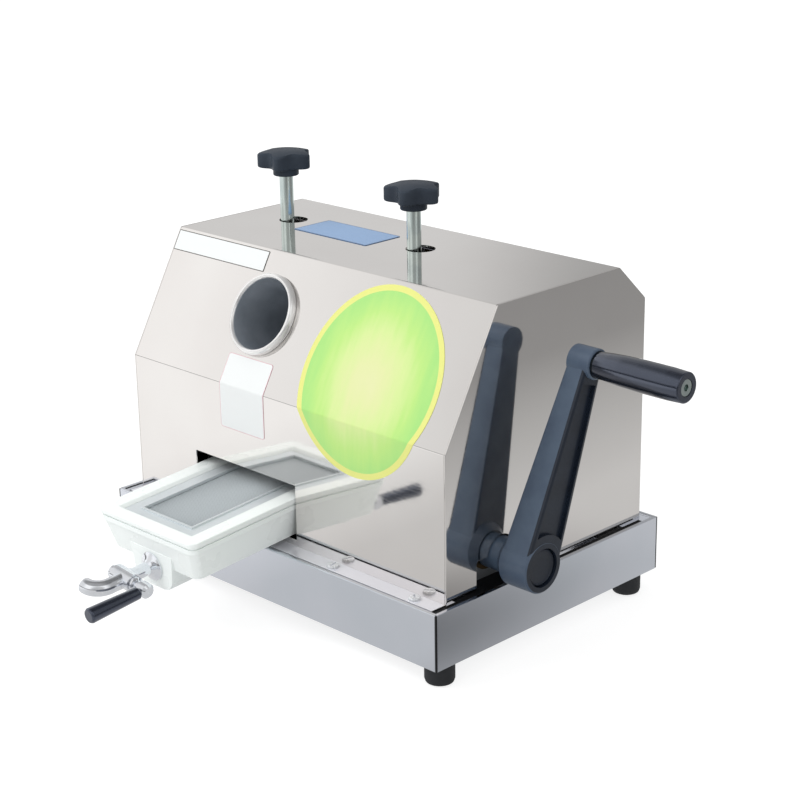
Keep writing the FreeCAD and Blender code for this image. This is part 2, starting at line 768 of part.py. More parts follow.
INNER_LEFT = "(left_cheek_x + cheek_thick / 2)"
INNER_RIGHT = f"({RIGHT_CHEEK} - cheek_thick / 2)"
SPAN = f"({INNER_RIGHT} - {INNER_LEFT})"
SHOULDER = f"{INNER_LEFT} + block_cheek_thick + 0.8"
tie_places = (("front_tie_bar", "front_tie_y", "front_tie_z"), ("rear_tie_bar", "rear_tie_y", "rear_tie_z"))
for name, y, z in tie_places:
    keep(name, bar(name, "tie_radius", SPAN, INNER_LEFT, y, z, (0, 1, 0), "90"))

for name, y in (("front", FRONT_Y), ("rear", BACK_Y)):
    bore = "shaft_radius + running_gap"
    for hand, inner, outer, flange in (
        ("left", INNER_LEFT, f"{INNER_LEFT} - cheek_thick", f"{INNER_LEFT} + bush_flange"),
        ("right", INNER_RIGHT, f"{INNER_RIGHT} + cheek_thick", f"{INNER_RIGHT} - bush_flange"),
    ):
        bush = new_body(f"{name}_{hand}_bush")
        profile = [
            (outer, bore),
            (outer, "bush_radius"),
            (inner, "bush_radius"),
            (inner, "bush_flange_radius"),
            (flange, "bush_flange_radius"),
            (flange, bore),
        ]
        turn(bush, "XY_Plane", "H_Axis", profile)
        keep(f"{name}_{hand}_bush", put(bush, "0", y, "lower_axis_z"))

# Sliding blocks: a bronze block in each window, flanged both sides, with a slot for the screw's collar.
for name, middle in (("left_block", "left_cheek_x"), ("right_block", RIGHT_CHEEK)):
    slider = new_body(name)
    low = TOP_Z + " - block_below"
    high = TOP_Z + " + block_above"
    core = rectangle("rod_y - block_half", "rod_y + block_half", low, high)
    pad(slider, draw(slider, "YZ_Plane", middle, [core]), "cheek_thick + 0.8", middle=True)
    wing = rectangle(
        "rod_y - block_cheek_half", "rod_y + block_cheek_half", TOP_Z + " - block_cheek_below", high
    )
    pad(slider, draw(slider, "YZ_Plane", f"{middle} + cheek_thick / 2 + 0.4", [wing]), "block_cheek_thick")
    inner = f"{middle} - cheek_thick / 2 - 0.4 - block_cheek_thick"
    pad(slider, draw(slider, "YZ_Plane", inner, [wing]), "block_cheek_thick")
    shaft_hole = draw(
        slider, "YZ_Plane", f"{middle} - 20", circles=[("rod_y", TOP_Z, "shaft_radius + running_gap")]
    )
    pocket(slider, shaft_hole, "40", back=True)
    tee = [
        (f"{middle} - slot_throat", high + " + 1"),
        (f"{middle} - slot_throat", high + " - slot_lip"),
        (f"{middle} - slot_pocket", high + " - slot_lip"),
        (f"{middle} - slot_pocket", high + " - slot_deep"),
        (f"{middle} + slot_pocket", high + " - slot_deep"),
        (f"{middle} + slot_pocket", high + " - slot_lip"),
        (f"{middle} + slot_throat", high + " - slot_lip"),
        (f"{middle} + slot_throat", high + " + 1"),
    ]
    pocket(slider, draw(slider, "XZ_Plane", "-(rod_y - 8.2)", [tee]), "40")
    keep(name, slider)

# Rollers: fluted barrels pressed on their shafts.
for name, y, z in (
    ("front_roller", FRONT_Y, "lower_axis_z"),
    ("rear_roller", BACK_Y, "lower_axis_z"),
    ("top_roller", "rod_y", TOP_Z),
):
    barrel = new_body(name)
    discs = [("0", "0", "roller_radius"), ("0", "0", "shaft_radius")]
    pad(barrel, draw(barrel, "YZ_Plane", "roller_left", circles=discs), f"{ROLLER_RIGHT} - roller_left")
    notch = [
        ("-flute_half", "roller_radius + 0.4"),
        ("0", "roller_radius - flute_depth"),
        ("flute_half", "roller_radius + 0.4"),
    ]
    flute = pocket(
        barrel,
        draw(barrel, "YZ_Plane", "roller_left - 1", [notch]),
        f"{ROLLER_RIGHT} - roller_left + 2",
        back=True,
    )
    flutes = barrel.newObject("PartDesign::PolarPattern", name + "_flutes")
    flutes.Originals = [flute]
    flutes.Axis = (flute.Profile[0], ["N_Axis"])
    flutes.Angle = 360
    bind(flutes, Occurrences="flute_count")
    barrel.Tip = flutes
    keep(name, put(barrel, "0", y, z))

for name, y, z, end in (
    ("front_shaft", FRONT_Y, "lower_axis_z", DRIVE_SHAFT_END),
    ("rear_shaft", BACK_Y, "lower_axis_z", SHAFT_RIGHT_END),
    ("top_shaft", "rod_y", TOP_Z, SHAFT_RIGHT_END),
):
    shaft = new_body(name)
    profile = [
        ("shaft_left_end", "0"),
        ("shaft_left_end", "shaft_radius - 1"),
        ("shaft_left_end + 1", "shaft_radius"),
        (SHOULDER, "shaft_radius"),
        (SHOULDER, "shaft_shoulder"),
        ("roller_left", "shaft_shoulder"),
        ("roller_left", "shaft_radius"),
        (f"{end} - 1", "shaft_radius"),
        (end, "shaft_radius - 1"),
        (end, "0"),
    ]
    turn(shaft, "XY_Plane", "H_Axis", profile)
    keep(name, put(shaft, "0", y, z))


def gear_face(module, teeth, play, phase):
    """Outline of a stub-tooth gear in Y and Z, with one tooth centred on the phase angle."""
    pitch = module * teeth / 2
    base = pitch * math.cos(math.radians(20))
    tip = pitch + 0.8 * module
    root = pitch - module
    flat = math.tan(math.radians(20)) - math.radians(20)

    def half(radius):
        lean = math.acos(min(1.0, base / radius))
        return math.pi / (2 * teeth) - play / (4 * pitch) + flat - (math.tan(lean) - lean)

    stations = [(root, half(max(root, base)) + 0.06 * module / root), (max(root, base) + 0.1, None)]
    stations += [(pitch, None), (tip, None)]
    corners = []
    for tooth in range(teeth):
        centre = phase + tooth * 2 * math.pi / teeth
        side = [(radius, half(radius) if spread is None else spread) for radius, spread in stations]
        for radius, spread in side:
            corners.append((radius, centre - spread))
        for radius, spread in reversed(side):
            corners.append((radius, centre + spread))
    spots = [FreeCAD.Vector(0, r * math.cos(a), r * math.sin(a)) for r, a in corners]
    return Part.Wire(Part.makePolygon(spots + spots[:1]))


def gear(name, module, teeth, play, phase, start, width, y, z):
    """A gear with a round bore, at its own place on the X direction."""
    wire = gear_face(module, teeth, play, phase)
    disc = Part.Face(wire).extrude(FreeCAD.Vector(value(width), 0, 0))
    along = FreeCAD.Vector(1, 0, 0)
    hole = Part.makeCylinder(value("shaft_radius"), value(width), FreeCAD.Vector(0, 0, 0), along)
    piece = doc.addObject("Part::Feature", name)
    piece.Shape = disc.cut(hole)
    keep(name, put(piece, start, y, z))


front_axis = (value(FRONT_Y), value("lower_axis_z"))
back_axis = (value(BACK_Y), value("lower_axis_z"))
top_axis = (value("rod_y"), value(TOP_Z))
crank_axis = (value("crank_axis_y"), value(CRANK_Z))


def bearing(origin, target):
    """Angle in the Y-Z plane from one axis to another."""
    return math.atan2(target[1] - origin[1], target[0] - origin[0])


roller_step = 2 * math.pi / value("roller_gear_teeth")
front_phase = bearing(front_axis, top_axis)
top_phase = bearing(top_axis, front_axis) + roller_step / 2
drift = (top_phase + roller_step / 2 - bearing(top_axis, back_axis)) % roller_step
back_phase = bearing(back_axis, top_axis) - drift
ROLLER_GEAR = (value("roller_gear_module"), SIZES["roller_gear_teeth"], value("roller_gear_play"))
gear("front_gear", *ROLLER_GEAR, front_phase, ROLLER_GEAR_X, "roller_gear_width", FRONT_Y, "lower_axis_z")
gear("top_gear", *ROLLER_GEAR, top_phase, ROLLER_GEAR_X, "roller_gear_width", "rod_y", TOP_Z)
gear("rear_gear", *ROLLER_GEAR, back_phase, ROLLER_GEAR_X, "roller_gear_width", BACK_Y, "lower_axis_z")
drive_phase = bearing(front_axis, crank_axis)
pinion_phase = bearing(crank_axis, front_axis) + math.pi / value("pinion_teeth")
DRIVE = (value("drive_module"), SIZES["drive_teeth"], value("drive_play"))
PINION = (value("drive_module"), SIZES["pinion_teeth"], value("drive_play"))
gear("drive_gear", *DRIVE, drive_phase, DRIVE_GEAR_X, "drive_gear_width", FRONT_Y, "lower_axis_z")
gear("crank_pinion", *PINION, pinion_phase, PINION_X, "pinion_width", "crank_axis_y", CRANK_Z)

# Crank: outer stand and bush, stepped shaft, cast arm with a sunk face, cap, spindle and turning grip.
stand = new_body("crank_stand")
stand_outline = rectangle("crank_axis_y - stand_half", "crank_axis_y + stand_half", DECK_TOP, CRANK_Z)
pad(stand, draw(stand, "YZ_Plane", STAND_X, [stand_outline]), "stand_thick")
stand_head = draw(stand, "YZ_Plane", STAND_X, circles=[("crank_axis_y", CRANK_Z, "stand_half")])
pad(stand, stand_head, "stand_thick")
sole = rectangle(
    f"{STAND_X} - stand_foot", STAND_X, "crank_axis_y - stand_half - 4", "crank_axis_y + stand_half + 4"
)
pad(stand, draw(stand, "XY_Plane", DECK_TOP, [sole]), "stand_foot_thick")
seat = draw(stand, "YZ_Plane", f"{STAND_X} - 1", circles=[("crank_axis_y", CRANK_Z, "bush_radius")])
pocket(stand, seat, "stand_thick + 2", back=True)
keep("crank_stand", stand)

bush = new_body("crank_bush")
profile = [
    (STAND_X, "shaft_radius + running_gap"),
    (STAND_X, "bush_radius"),
    (f"{STAND_X} + stand_thick", "bush_radius"),
    (f"{STAND_X} + stand_thick", "bush_flange_radius"),
    (f"{STAND_X} + stand_thick + bush_flange", "bush_flange_radius"),
    (f"{STAND_X} + stand_thick + bush_flange", "shaft_radius + running_gap"),
]
turn(bush, "XY_Plane", "H_Axis", profile)
keep("crank_bush", put(bush, "0", "crank_axis_y", CRANK_Z))

shaft = new_body("crank_shaft")
profile = [
    (CRANK_SHAFT_START, "0"),
    (CRANK_SHAFT_START, "shaft_radius - 1"),
    (f"{CRANK_SHAFT_START} + 1", "shaft_radius"),
    (f"{PINION_X} + pinion_width", "shaft_radius"),
    (f"{PINION_X} + pinion_width", "crank_shaft_shoulder"),
    (f"{STAND_X} - 0.4", "crank_shaft_shoulder"),
    (f"{STAND_X} - 0.4", "shaft_radius"),
    (CRANK_SHAFT_END, "shaft_radius"),
    (CRANK_SHAFT_END, "0"),
]
turn(shaft, "XY_Plane", "H_Axis", profile)
keep("crank_shaft", put(shaft, "0", "crank_axis_y", CRANK_Z))

ARM_WIDEN = "(arm_half_eye - arm_half_hub) / arm_length"
ARM_FRONT_EYE = f"({ARM_FRONT_HUB} + arm_length * tan(arm_splay))"
SOCKET = f"{ARM_BACK_EYE} + 1"
arm = new_body("crank_arm")
ends = (
    ("0", ARM_BACK_HUB, ARM_FRONT_HUB, "arm_half_hub"),
    ("arm_length", ARM_BACK_EYE, ARM_FRONT_EYE, "arm_half_eye"),
)
sections = []
for level, back, front, half in ends:
    outline = soft_rectangle(back, front, f"-{half}", half, "arm_round")
    sections.append(draw(arm, "XY_Plane", level, [outline]))
blade = arm.newObject("PartDesign::AdditiveLoft", "crank_arm_blade")
blade.Profile = sections[0]
blade.Sections = sections[1:]
blade.Ruled = True
sunk = []
for sign in ("-", ""):
    half = f"{sign}(arm_half_hub - arm_rim + {ARM_WIDEN} * (arm_length - eye_radius - 4))"
    sunk.append((half, "arm_length - eye_radius - 4"))
low_half = f"(arm_half_hub - arm_rim + {ARM_WIDEN} * arm_recess_start)"
for turn_step in (3, 2, 1, 0, -1, -2, -3):
    spot = f"asin({low_half} / arm_recess_start) * {turn_step} / 3"
    sunk.append((f"arm_recess_start * sin({spot})", f"arm_recess_start * cos({spot})"))
floor = draw(arm, "YZ_Plane", f"{ARM_FRONT_HUB} - arm_recess", [sunk], splay="arm_splay")
pocket(arm, floor, "arm_recess + 5", back=True)
hub = [
    (COLLAR_BACK, "0"),
    (COLLAR_BACK, "collar_radius"),
    (f"{HUB_BACK} - hub_cone", "collar_radius"),
    (f"{HUB_BACK} - hub_cone", "collar_radius + 1.5"),
    (HUB_BACK, "hub_radius"),
    (f"{HUB_FRONT} - 1.2", "hub_radius"),
    (HUB_FRONT, "hub_radius - 1.2"),
    (HUB_FRONT, "0"),
]
turn(arm, "XY_Plane", "H_Axis", hub)
eye = draw(arm, "YZ_Plane", ARM_BACK_EYE, circles=[("0", "arm_length", "eye_radius")])
pad(arm, eye, f"{EYE_FRONT} - {ARM_BACK_EYE}")
round_edges(arm, "eye_round", ring_at("eye_radius", EYE_FRONT))
keyhole = draw(arm, "YZ_Plane", f"{COLLAR_BACK} - 1", circles=[("0", "0", "shaft_radius")])
pocket(arm, keyhole, f"{CRANK_SHAFT_END} - {COLLAR_BACK} + 1", back=True)
dish = draw(arm, "YZ_Plane", f"{HUB_FRONT} - hub_recess", circles=[("0", "0", "hub_recess_radius")])
pocket(arm, dish, "hub_recess + 5", back=True)
pin_hole = draw(arm, "YZ_Plane", SOCKET, circles=[("0", "arm_length", "spindle_radius")])
pocket(arm, pin_hole, f"{EYE_FRONT} - {ARM_BACK_EYE} + 2", back=True)
keep("crank_arm", put(arm, "0", "crank_axis_y", CRANK_Z, (1, 0, 0), "-arm_lean"))

cap = new_body("crank_cap")
profile = [
    (f"{HUB_FRONT} - hub_recess", "0"),
    (f"{HUB_FRONT} - hub_recess", "hub_recess_radius - 0.1"),
    (f"{HUB_FRONT} - hub_recess + 2", "hub_recess_radius - 0.6"),
    (f"{HUB_FRONT} - hub_recess + 2.6", "hub_recess_radius - 2"),
    (f"{HUB_FRONT} - hub_recess + 1.6", "hub_recess_radius - 3.4"),
    (f"{HUB_FRONT} - hub_recess + 1.2", "0"),
]
turn(cap, "XY_Plane", "H_Axis", profile)
keep("crank_cap", put(cap, "0", "crank_axis_y", CRANK_Z))

GRIP_Y = "crank_axis_y + arm_length * sin(arm_lean)"
GRIP_Z = f"{CRANK_Z} + arm_length * cos(arm_lean)"
spindle = new_body("grip_spindle")
profile = [
    (SOCKET, "0"),
    (SOCKET, "spindle_radius"),
    (EYE_FRONT, "spindle_radius"),
    (EYE_FRONT, "spindle_collar_radius"),
    (f"{GRIP_START} - 0.4", "spindle_collar_radius"),
    (f"{GRIP_START} - 0.4", "spindle_radius"),
    (f"{GRIP_END} - spindle_head - 0.6", "spindle_radius"),
    (f"{GRIP_END} - spindle_head - 0.6", "spindle_head_radius"),
    (f"{GRIP_END} - 0.6", "spindle_head_radius"),
    (f"{GRIP_END} - 0.6", "0"),
]
turn(spindle, "XY_Plane", "H_Axis", profile)
hexagon = [
    (f"spindle_socket * cos({60 * step})", f"spindle_socket * sin({60 * step})") for step in range(6)
]
pocket(spindle, draw(spindle, "YZ_Plane", f"{GRIP_END} - 5.6", [hexagon]), "8", back=True)
keep("grip_spindle", put(spindle, "0", GRIP_Y, GRIP_Z))

grip = new_body("crank_grip")
swell = "(grip_radius - grip_root_radius)"
profile = [
    (GRIP_START, "spindle_radius + running_gap"),
    (GRIP_START, "grip_root_radius - 0.8"),
    (f"{GRIP_START} + 0.8", "grip_root_radius"),
    (f"{GRIP_START} + 11", f"grip_root_radius + {swell} * 0.45"),
    (f"{GRIP_START} + 24", f"grip_root_radius + {swell} * 0.8"),
    (f"{GRIP_START} + 42", "grip_radius"),
    (f"{GRIP_END} - 14", "grip_radius"),
    (f"{GRIP_END} - 0.7", "grip_edge_radius"),
    (GRIP_END, "grip_edge_radius - 0.8"),
    (GRIP_END, "spindle_head_radius + 0.3"),
    (f"{GRIP_END} - spindle_head - 1", "spindle_head_radius + 0.3"),
    (f"{GRIP_END} - spindle_head - 1", "spindle_radius + running_gap"),
]
turn(grip, "XY_Plane", "H_Axis", profile)
keep("crank_grip", put(grip, "0", GRIP_Y, GRIP_Z))

# Pressure screws with a collar caught in each block, and lobed knobs at two heights.
BLOCK_TOP = f"({TOP_Z} + block_above)"


def knob_outline(phase):
    """Outline of the star knob: round lobes, each joined to the next by a hollow arc that touches both."""
    pitch = value("knob_lobe_pitch")
    lobe = value("knob_lobe_radius")
    valley = value("knob_valley")
    lobes = int(value("knob_lobes"))
    half_step = math.pi / lobes
    along = pitch * math.cos(half_step)
    aside = pitch * math.sin(half_step)
    hollow = (aside**2 + (along - valley) ** 2 - lobe**2) / (2 * (lobe + along - valley))
    reach = half_step + math.atan2(aside, valley + hollow - along)
    around = []
    for step in range(lobes):
        middle = math.radians(phase) + 2 * half_step * step
        centre = polar(pitch, middle)
        for angle in (middle - reach, middle, middle + reach):
            around.append(centre + polar(lobe, angle))
        around.append(polar(valley, middle + half_step))
    around.append(around[0])
    arcs = [Part.Arc(*around[step : step + 3]).toShape() for step in range(0, 4 * lobes, 2)]
    return Part.Wire(arcs)


def polar(radius, angle):
    """Point at a radius and an angle in the floor plane."""
    return FreeCAD.Vector(radius * math.cos(angle), radius * math.sin(angle), 0)


def knob_shape(phase):
    """Star knob with a collar below, rounded rims, a dished top and a blind seat for the rod."""
    collar = value("knob_collar")
    height = value("knob_height")
    star = Part.Face(knob_outline(90 + phase)).extrude(FreeCAD.Vector(0, 0, height))
    star.translate(FreeCAD.Vector(0, 0, collar))
    rims = [
        edge for edge in star.Edges if all(abs(vertex.Z - collar - height) < 0.01 for vertex in edge.Vertexes)
    ]
    star = star.makeFillet(value("knob_round"), rims)
    whole = star.fuse(Part.makeCylinder(value("knob_collar_radius"), collar))
    top = FreeCAD.Vector(0, 0, collar + height - value("knob_dish"))
    whole = whole.cut(Part.makeCylinder(value("knob_dish_radius"), 5, top))
    return whole.cut(Part.makeCylinder(value("rod_radius"), collar + height - 6))


for hand, x, foot_z in (("left", "left_cheek_x", "left_knob_z"), ("right", RIGHT_CHEEK, "right_knob_z")):
    rod = new_body(f"{hand}_screw")
    start = f"{BLOCK_TOP} - slot_deep + 0.3"
    end = f"{foot_z} + knob_collar + knob_height - 6"
    profile = [
        ("0", start),
        ("screw_collar_radius", start),
        ("screw_collar_radius", f"{start} + screw_collar"),
        ("rod_radius", f"{start} + screw_collar"),
        ("rod_radius", end),
        ("0", end),
    ]
    turn(rod, "XZ_Plane", "V_Axis", profile)
    keep(f"{hand}_screw", put(rod, x, "rod_y", "0"))
    knob = doc.addObject("Part::Feature", f"{hand}_knob")
    knob.Shape = knob_shape(value(f"{hand}_knob_turn"))
    keep(f"{hand}_knob", put(knob, x, "rod_y", foot_z))


# Juice tray: a draughted trough with a sump at the front, a lid with a stepped rim, and a slotted strainer.


def on_tray(piece):
    """Place a piece in the tray's leaning frame."""
    return put(piece, "tray_x", "front_y", "tray_rim_z", (1, 0, 0), "tray_tilt")


def cut_corners(half, front, back, leg):
    """Corners of a rectangle about the middle line with each corner cut across."""
    return [
        (f"-({half}) + {leg}", front),
        (f"({half}) - {leg}", front),
        (half, f"({front}) + {leg}"),
        (half, f"({back}) - {leg}"),
        (f"({half}) - {leg}", back),
        (f"-({half}) + {leg}", back),
        (f"-({half})", f"({back}) - {leg}"),
        (f"-({half})", f"({front}) + {leg}"),
    ]


def box_loft(body, kind, low, high, low_z, high_z, leg=None):
    """A tapered block between two rectangles of half width, front and back; a leg cuts their corners."""
    sections = []
    for (half, front, back), level in ((low, low_z), (high, high_z)):
        outline = cut_corners(half, front, back, leg) if leg else rectangle(f"-({half})", half, front, back)
        sections.append(draw(body, "XY_Plane", level, [outline]))
    feature = body.newObject(kind, body.Name + "_loft")
    feature.Profile = sections[0]
    feature.Sections = sections[1:]
    feature.Ruled = True
    return feature


tray = new_body("juice_tray")
band_half = "tray_half - tray_band_inset"
band_front = "tray_front + tray_band_inset"
band_back = "tray_back - tray_band_inset"
upper = (f"{band_half} - 1", f"{band_front} + 1", f"{band_back} - 1")
lower = (
    f"{band_half} - 1 - tray_draught",
    f"{band_front} + 1 + tray_draught",
    f"{band_back} - 1 - tray_draught",
)
box_loft(tray, "PartDesign::AdditiveLoft", lower, upper, "tray_floor", "tray_band_bottom")
round_edges(tray, "tray_corner", upright("tray_floor", "tray_band_bottom"))
band = rectangle(f"-({band_half})", band_half, band_front, band_back)
pad(tray, draw(tray, "XY_Plane", "tray_band_bottom", [band]), "tray_band_top - tray_band_bottom")
round_edges(tray, "tray_corner", upright("tray_band_bottom", "tray_band_top"))
sump = [
    ("-sump_half", "tray_floor + 12"),
    ("sump_half", "tray_floor + 12"),
    ("sump_half - 3", "sump_floor + 7.5"),
    ("sump_half - 7.5", "sump_floor + 1.8"),
    ("sump_half - 14", "sump_floor"),
    ("-sump_half + 14", "sump_floor"),
    ("-sump_half + 7.5", "sump_floor + 1.8"),
    ("-sump_half + 3", "sump_floor + 7.5"),
]
pad(tray, draw(tray, "XZ_Plane", "-sump_front", [sump]), "sump_back - sump_front", back=True)
upper = (
    f"{band_half} - 1 - tray_wall",
    f"{band_front} + 1 + tray_wall",
    f"{band_back} - 1 - tray_wall",
)
lower = (
    f"{band_half} - 1 - tray_wall - tray_draught",
    f"{band_front} + 1 + tray_wall + tray_draught",
    f"{band_back} - 1 - tray_wall - tray_draught",
)
box_loft(
    tray,
    "PartDesign::SubtractiveLoft",
    lower,
    upper,
    "tray_floor + tray_wall",
    "tray_band_top",
    "tray_corner_leg",
)
well = [
    ("-sump_half + tray_wall", "tray_floor + 12"),
    ("sump_half - tray_wall", "tray_floor + 12"),
    ("sump_half - tray_wall - 3", "sump_floor + 7.5"),
    ("sump_half - 8.4", "sump_floor + tray_wall + 1.6"),
    ("sump_half - 14", "sump_floor + tray_wall"),
    ("-sump_half + 14", "sump_floor + tray_wall"),
    ("-sump_half + 8.4", "sump_floor + tray_wall + 1.6"),
    ("-sump_half + tray_wall + 3", "sump_floor + 7.5"),
]
well_sketch = draw(tray, "XZ_Plane", "-sump_front - tray_wall", [well])
pocket(tray, well_sketch, "sump_back - sump_front - 2 * tray_wall")
inlet = ("0", "tap_z", "tap_inlet_radius + running_gap")
tap_hole = draw(tray, "XZ_Plane", "-sump_front + 3", circles=[inlet])
pocket(tray, tap_hole, "3 + tray_wall + 1")
keep("juice_tray", on_tray(tray))

lid = new_body("tray_lid")
neck = rectangle(
    "-(tray_half - lid_groove)", "tray_half - lid_groove", "tray_front + lid_groove", "tray_back - lid_groove"
)
pad(lid, draw(lid, "XY_Plane", "tray_band_top", [neck]), "-lid_flange - tray_band_top")
round_edges(lid, "tray_inner_corner", upright("tray_band_top", "-lid_flange"))
outer = rectangle("-tray_half", "tray_half", "tray_front", "tray_back")
pad(lid, draw(lid, "XY_Plane", "-lid_flange", [outer]), "lid_flange")
round_edges(lid, "tray_corner", upright("-lid_flange", "0"))
inset = "(tray_band_inset + 2 + tray_wall)"
skirt_half = f"(tray_half - {inset})"
skirt = [
    rectangle(f"-{skirt_half}", skirt_half, f"tray_front + {inset}", f"tray_back - {inset}"),
    rectangle(
        f"-(tray_half - {inset} - tray_wall)",
        f"tray_half - {inset} - tray_wall",
        f"tray_front + {inset} + tray_wall",
        f"tray_back - {inset} - tray_wall",
    ),
]
pad(lid, draw(lid, "XY_Plane", "tray_band_top - lid_skirt", skirt), "lid_skirt")
round_edges(lid, "tray_inner_corner", upright("tray_band_top - lid_skirt", "tray_band_top"))
gate = rectangle("-gate_half", "gate_half", "gate_front", "gate_back")
pocket(lid, draw(lid, "XY_Plane", "-lid_flange", [gate]), "10", back=True)
ledge = rectangle(
    "-(gate_half - gate_ledge)", "gate_half - gate_ledge", "gate_front + gate_ledge", "gate_back - gate_ledge"
)
pocket(lid, draw(lid, "XY_Plane", "tray_band_top - 1", [ledge]), "10", back=True)
keep("tray_lid", on_tray(lid))

strainer = new_body("strainer")
frame_outline = [
    rectangle("-(gate_half - 0.3)", "gate_half - 0.3", "gate_front + 0.3", "gate_back - 0.3"),
    rectangle(
        "-(strainer_bead_half - strainer_bead)",
        "strainer_bead_half - strainer_bead",
        "strainer_bead_front + strainer_bead",
        "strainer_bead_back - strainer_bead",
    ),
]
pad(strainer, draw(strainer, "XY_Plane", "-lid_flange", frame_outline), "strainer_sheet")
bead_outline = [
    rectangle("-strainer_bead_half", "strainer_bead_half", "strainer_bead_front", "strainer_bead_back"),
    frame_outline[1],
]
pad(strainer, draw(strainer, "XY_Plane", "-lid_flange", bead_outline), "strainer_sheet + 1.3")
mesh = [bead_outline[0]]
pad(strainer, draw(strainer, "XY_Plane", "-lid_flange - strainer_sheet", mesh), "strainer_sheet")
slot = rectangle(
    "-strainer_slot_half",
    "strainer_slot_half",
    "strainer_bead_front + strainer_bead + 8",
    "strainer_bead_front + strainer_bead + 8 + strainer_slot_width",
)
first_slot = pocket(
    strainer, draw(strainer, "XY_Plane", "-lid_flange - strainer_sheet - 1", [slot]), "5", back=True
)
slots = strainer.newObject("PartDesign::LinearPattern", "strainer_slots_row")
slots.Originals = [first_slot]
slots.Direction = (first_slot.Profile[0], ["V_Axis"])
bind(slots, Length="strainer_slot_pitch * (strainer_slots - 1)", Occurrences="strainer_slots")
strainer.Tip = slots
keep("strainer", on_tray(strainer))

# Cradle under the tray, the feed apron and the bagasse chute.
cradle = new_body("tray_cradle")
drop = "(tray_floor - 0.5)"
bottom = []
for y in ("cradle_front", "cradle_back"):
    bottom.append(
        f"tray_rim_z + ({y} - front_y) * tan(tray_tilt) + {drop} / cos(tray_tilt)"
    )
rib = [
    ("cradle_front", DECK_TOP),
    ("cradle_back", DECK_TOP),
    ("cradle_back", bottom[1]),
    ("cradle_front", bottom[0]),
]
pad(cradle, draw(cradle, "YZ_Plane", "cradle_left", [rib]), "cradle_rib")
pad(cradle, draw(cradle, "YZ_Plane", "cradle_right - cradle_rib", [rib]), "cradle_rib")
floor_plate = rectangle("cradle_left", "cradle_right", "cradle_front", "cradle_back")
pad(cradle, draw(cradle, "XY_Plane", DECK_TOP, [floor_plate]), "2")
keep("tray_cradle", cradle)

chute = new_body("bagasse_chute")
under = [("chute_edge", "chute_edge_z - chute_sheet"), ("chute_start", "chute_start_z - chute_sheet")]
inner_floor = [("chute_start", "chute_start_z"), ("chute_edge", "chute_edge_z")] + under
pad(chute, draw(chute, "YZ_Plane", INNER_LEFT, [inner_floor]), SPAN)
spill = [
    ("chute_edge", "chute_edge_z"),
    ("chute_end", "chute_end_z"),
    ("chute_end", "chute_end_z - chute_sheet"),
    ("chute_edge", "chute_edge_z - chute_sheet"),
]
spill_width = "outlet_right - outlet_left - 2 * chute_side_gap"
pad(chute, draw(chute, "YZ_Plane", "outlet_left + chute_side_gap", [spill]), spill_width)
side = [
    ("chute_edge", "chute_edge_z"),
    ("chute_end", "chute_end_z"),
    ("chute_end", "chute_end_top"),
    ("chute_edge", "chute_edge_top"),
]
pad(chute, draw(chute, "YZ_Plane", "outlet_left + chute_side_gap", [side]), "chute_sheet")
far_side = "outlet_right - chute_side_gap - chute_sheet"
pad(chute, draw(chute, "YZ_Plane", far_side, [side]), "chute_sheet")
keep("bagasse_chute", chute)

apron = new_body("feed_apron")


def feed_spot(depth, off):
    """A place in Y and Z at a depth along the feed line and a distance above it."""
    y = f"{FEED_Y} + {depth} * cos(slope_angle) + {off} * sin(slope_angle)"
    z = f"{FEED_Z} - {depth} * sin(slope_angle) + {off} * cos(slope_angle)"
    return (y, z)


strip = [
    feed_spot("apron_start", "(-apron_drop)"),
    feed_spot("apron_end", "(-apron_drop)"),
    feed_spot("(apron_end - 2)", "(-apron_drop - apron_sheet)"),
    feed_spot("apron_start", "(-apron_drop - apron_sheet)"),
]
pad(apron, draw(apron, "YZ_Plane", INNER_LEFT, [strip]), SPAN)
keep("feed_apron", apron)

# Tap: a bell flange and plug barrel, a bent spout, a plug with its lever, a grip and an inner nut.


def on_tap(piece):
    """Place a piece in the tap's frame: on the plug, leaning with the tray and rolled about the inlet."""
    lean = FreeCAD.Rotation(FreeCAD.Vector(1, 0, 0), value("tray_tilt"))
    roll = FreeCAD.Rotation(FreeCAD.Vector(0, 1, 0), value("tap_roll"))
    spot = FreeCAD.Vector(0, value("tray_front - tap_reach"), value("tap_z"))
    corner = FreeCAD.Vector(value("tray_x"), value("front_y"), value("tray_rim_z"))
    piece.Placement = FreeCAD.Placement(corner + lean.multVec(spot), lean.multiply(roll))
    return piece


cock = new_body("tap_body")
profile = [
    ("0", "-9"),
    ("6.6", "-9"),
    ("tap_neck_radius + 1", "5"),
    ("tap_neck_radius", "9"),
    ("tap_neck_radius", "tap_face - 6"),
    ("tap_neck_radius + 1.6", "tap_face - 4.6"),
    ("tap_flange_radius - 1.6", "tap_face - 2.8"),
    ("tap_flange_radius", "tap_face - 1.2"),
    ("tap_flange_radius", "tap_face"),
    ("tap_inlet_radius", "tap_face"),
    ("tap_inlet_radius", "tap_face + 9"),
    ("0", "tap_face + 9"),
]
turn(cock, "XY_Plane", "V_Axis", profile)
barrel_disc = draw(cock, "YZ_Plane", "0", circles=[("0", "0", "tap_barrel_radius")])
pad(cock, barrel_disc, "2 * tap_barrel_half", middle=True)
plug_ring = ("0", "0", "tap_plug_radius + running_gap")
plug_hole = draw(cock, "YZ_Plane", "-tap_barrel_half - 1", circles=[plug_ring])
pocket(cock, plug_hole, "2 * tap_barrel_half + 2", back=True)
waterway = draw(cock, "XZ_Plane", "10", circles=[("0", "0", "tap_inlet_bore")])
pocket(cock, waterway, "tap_face + 20")
keep("tap_body", on_tap(cock))

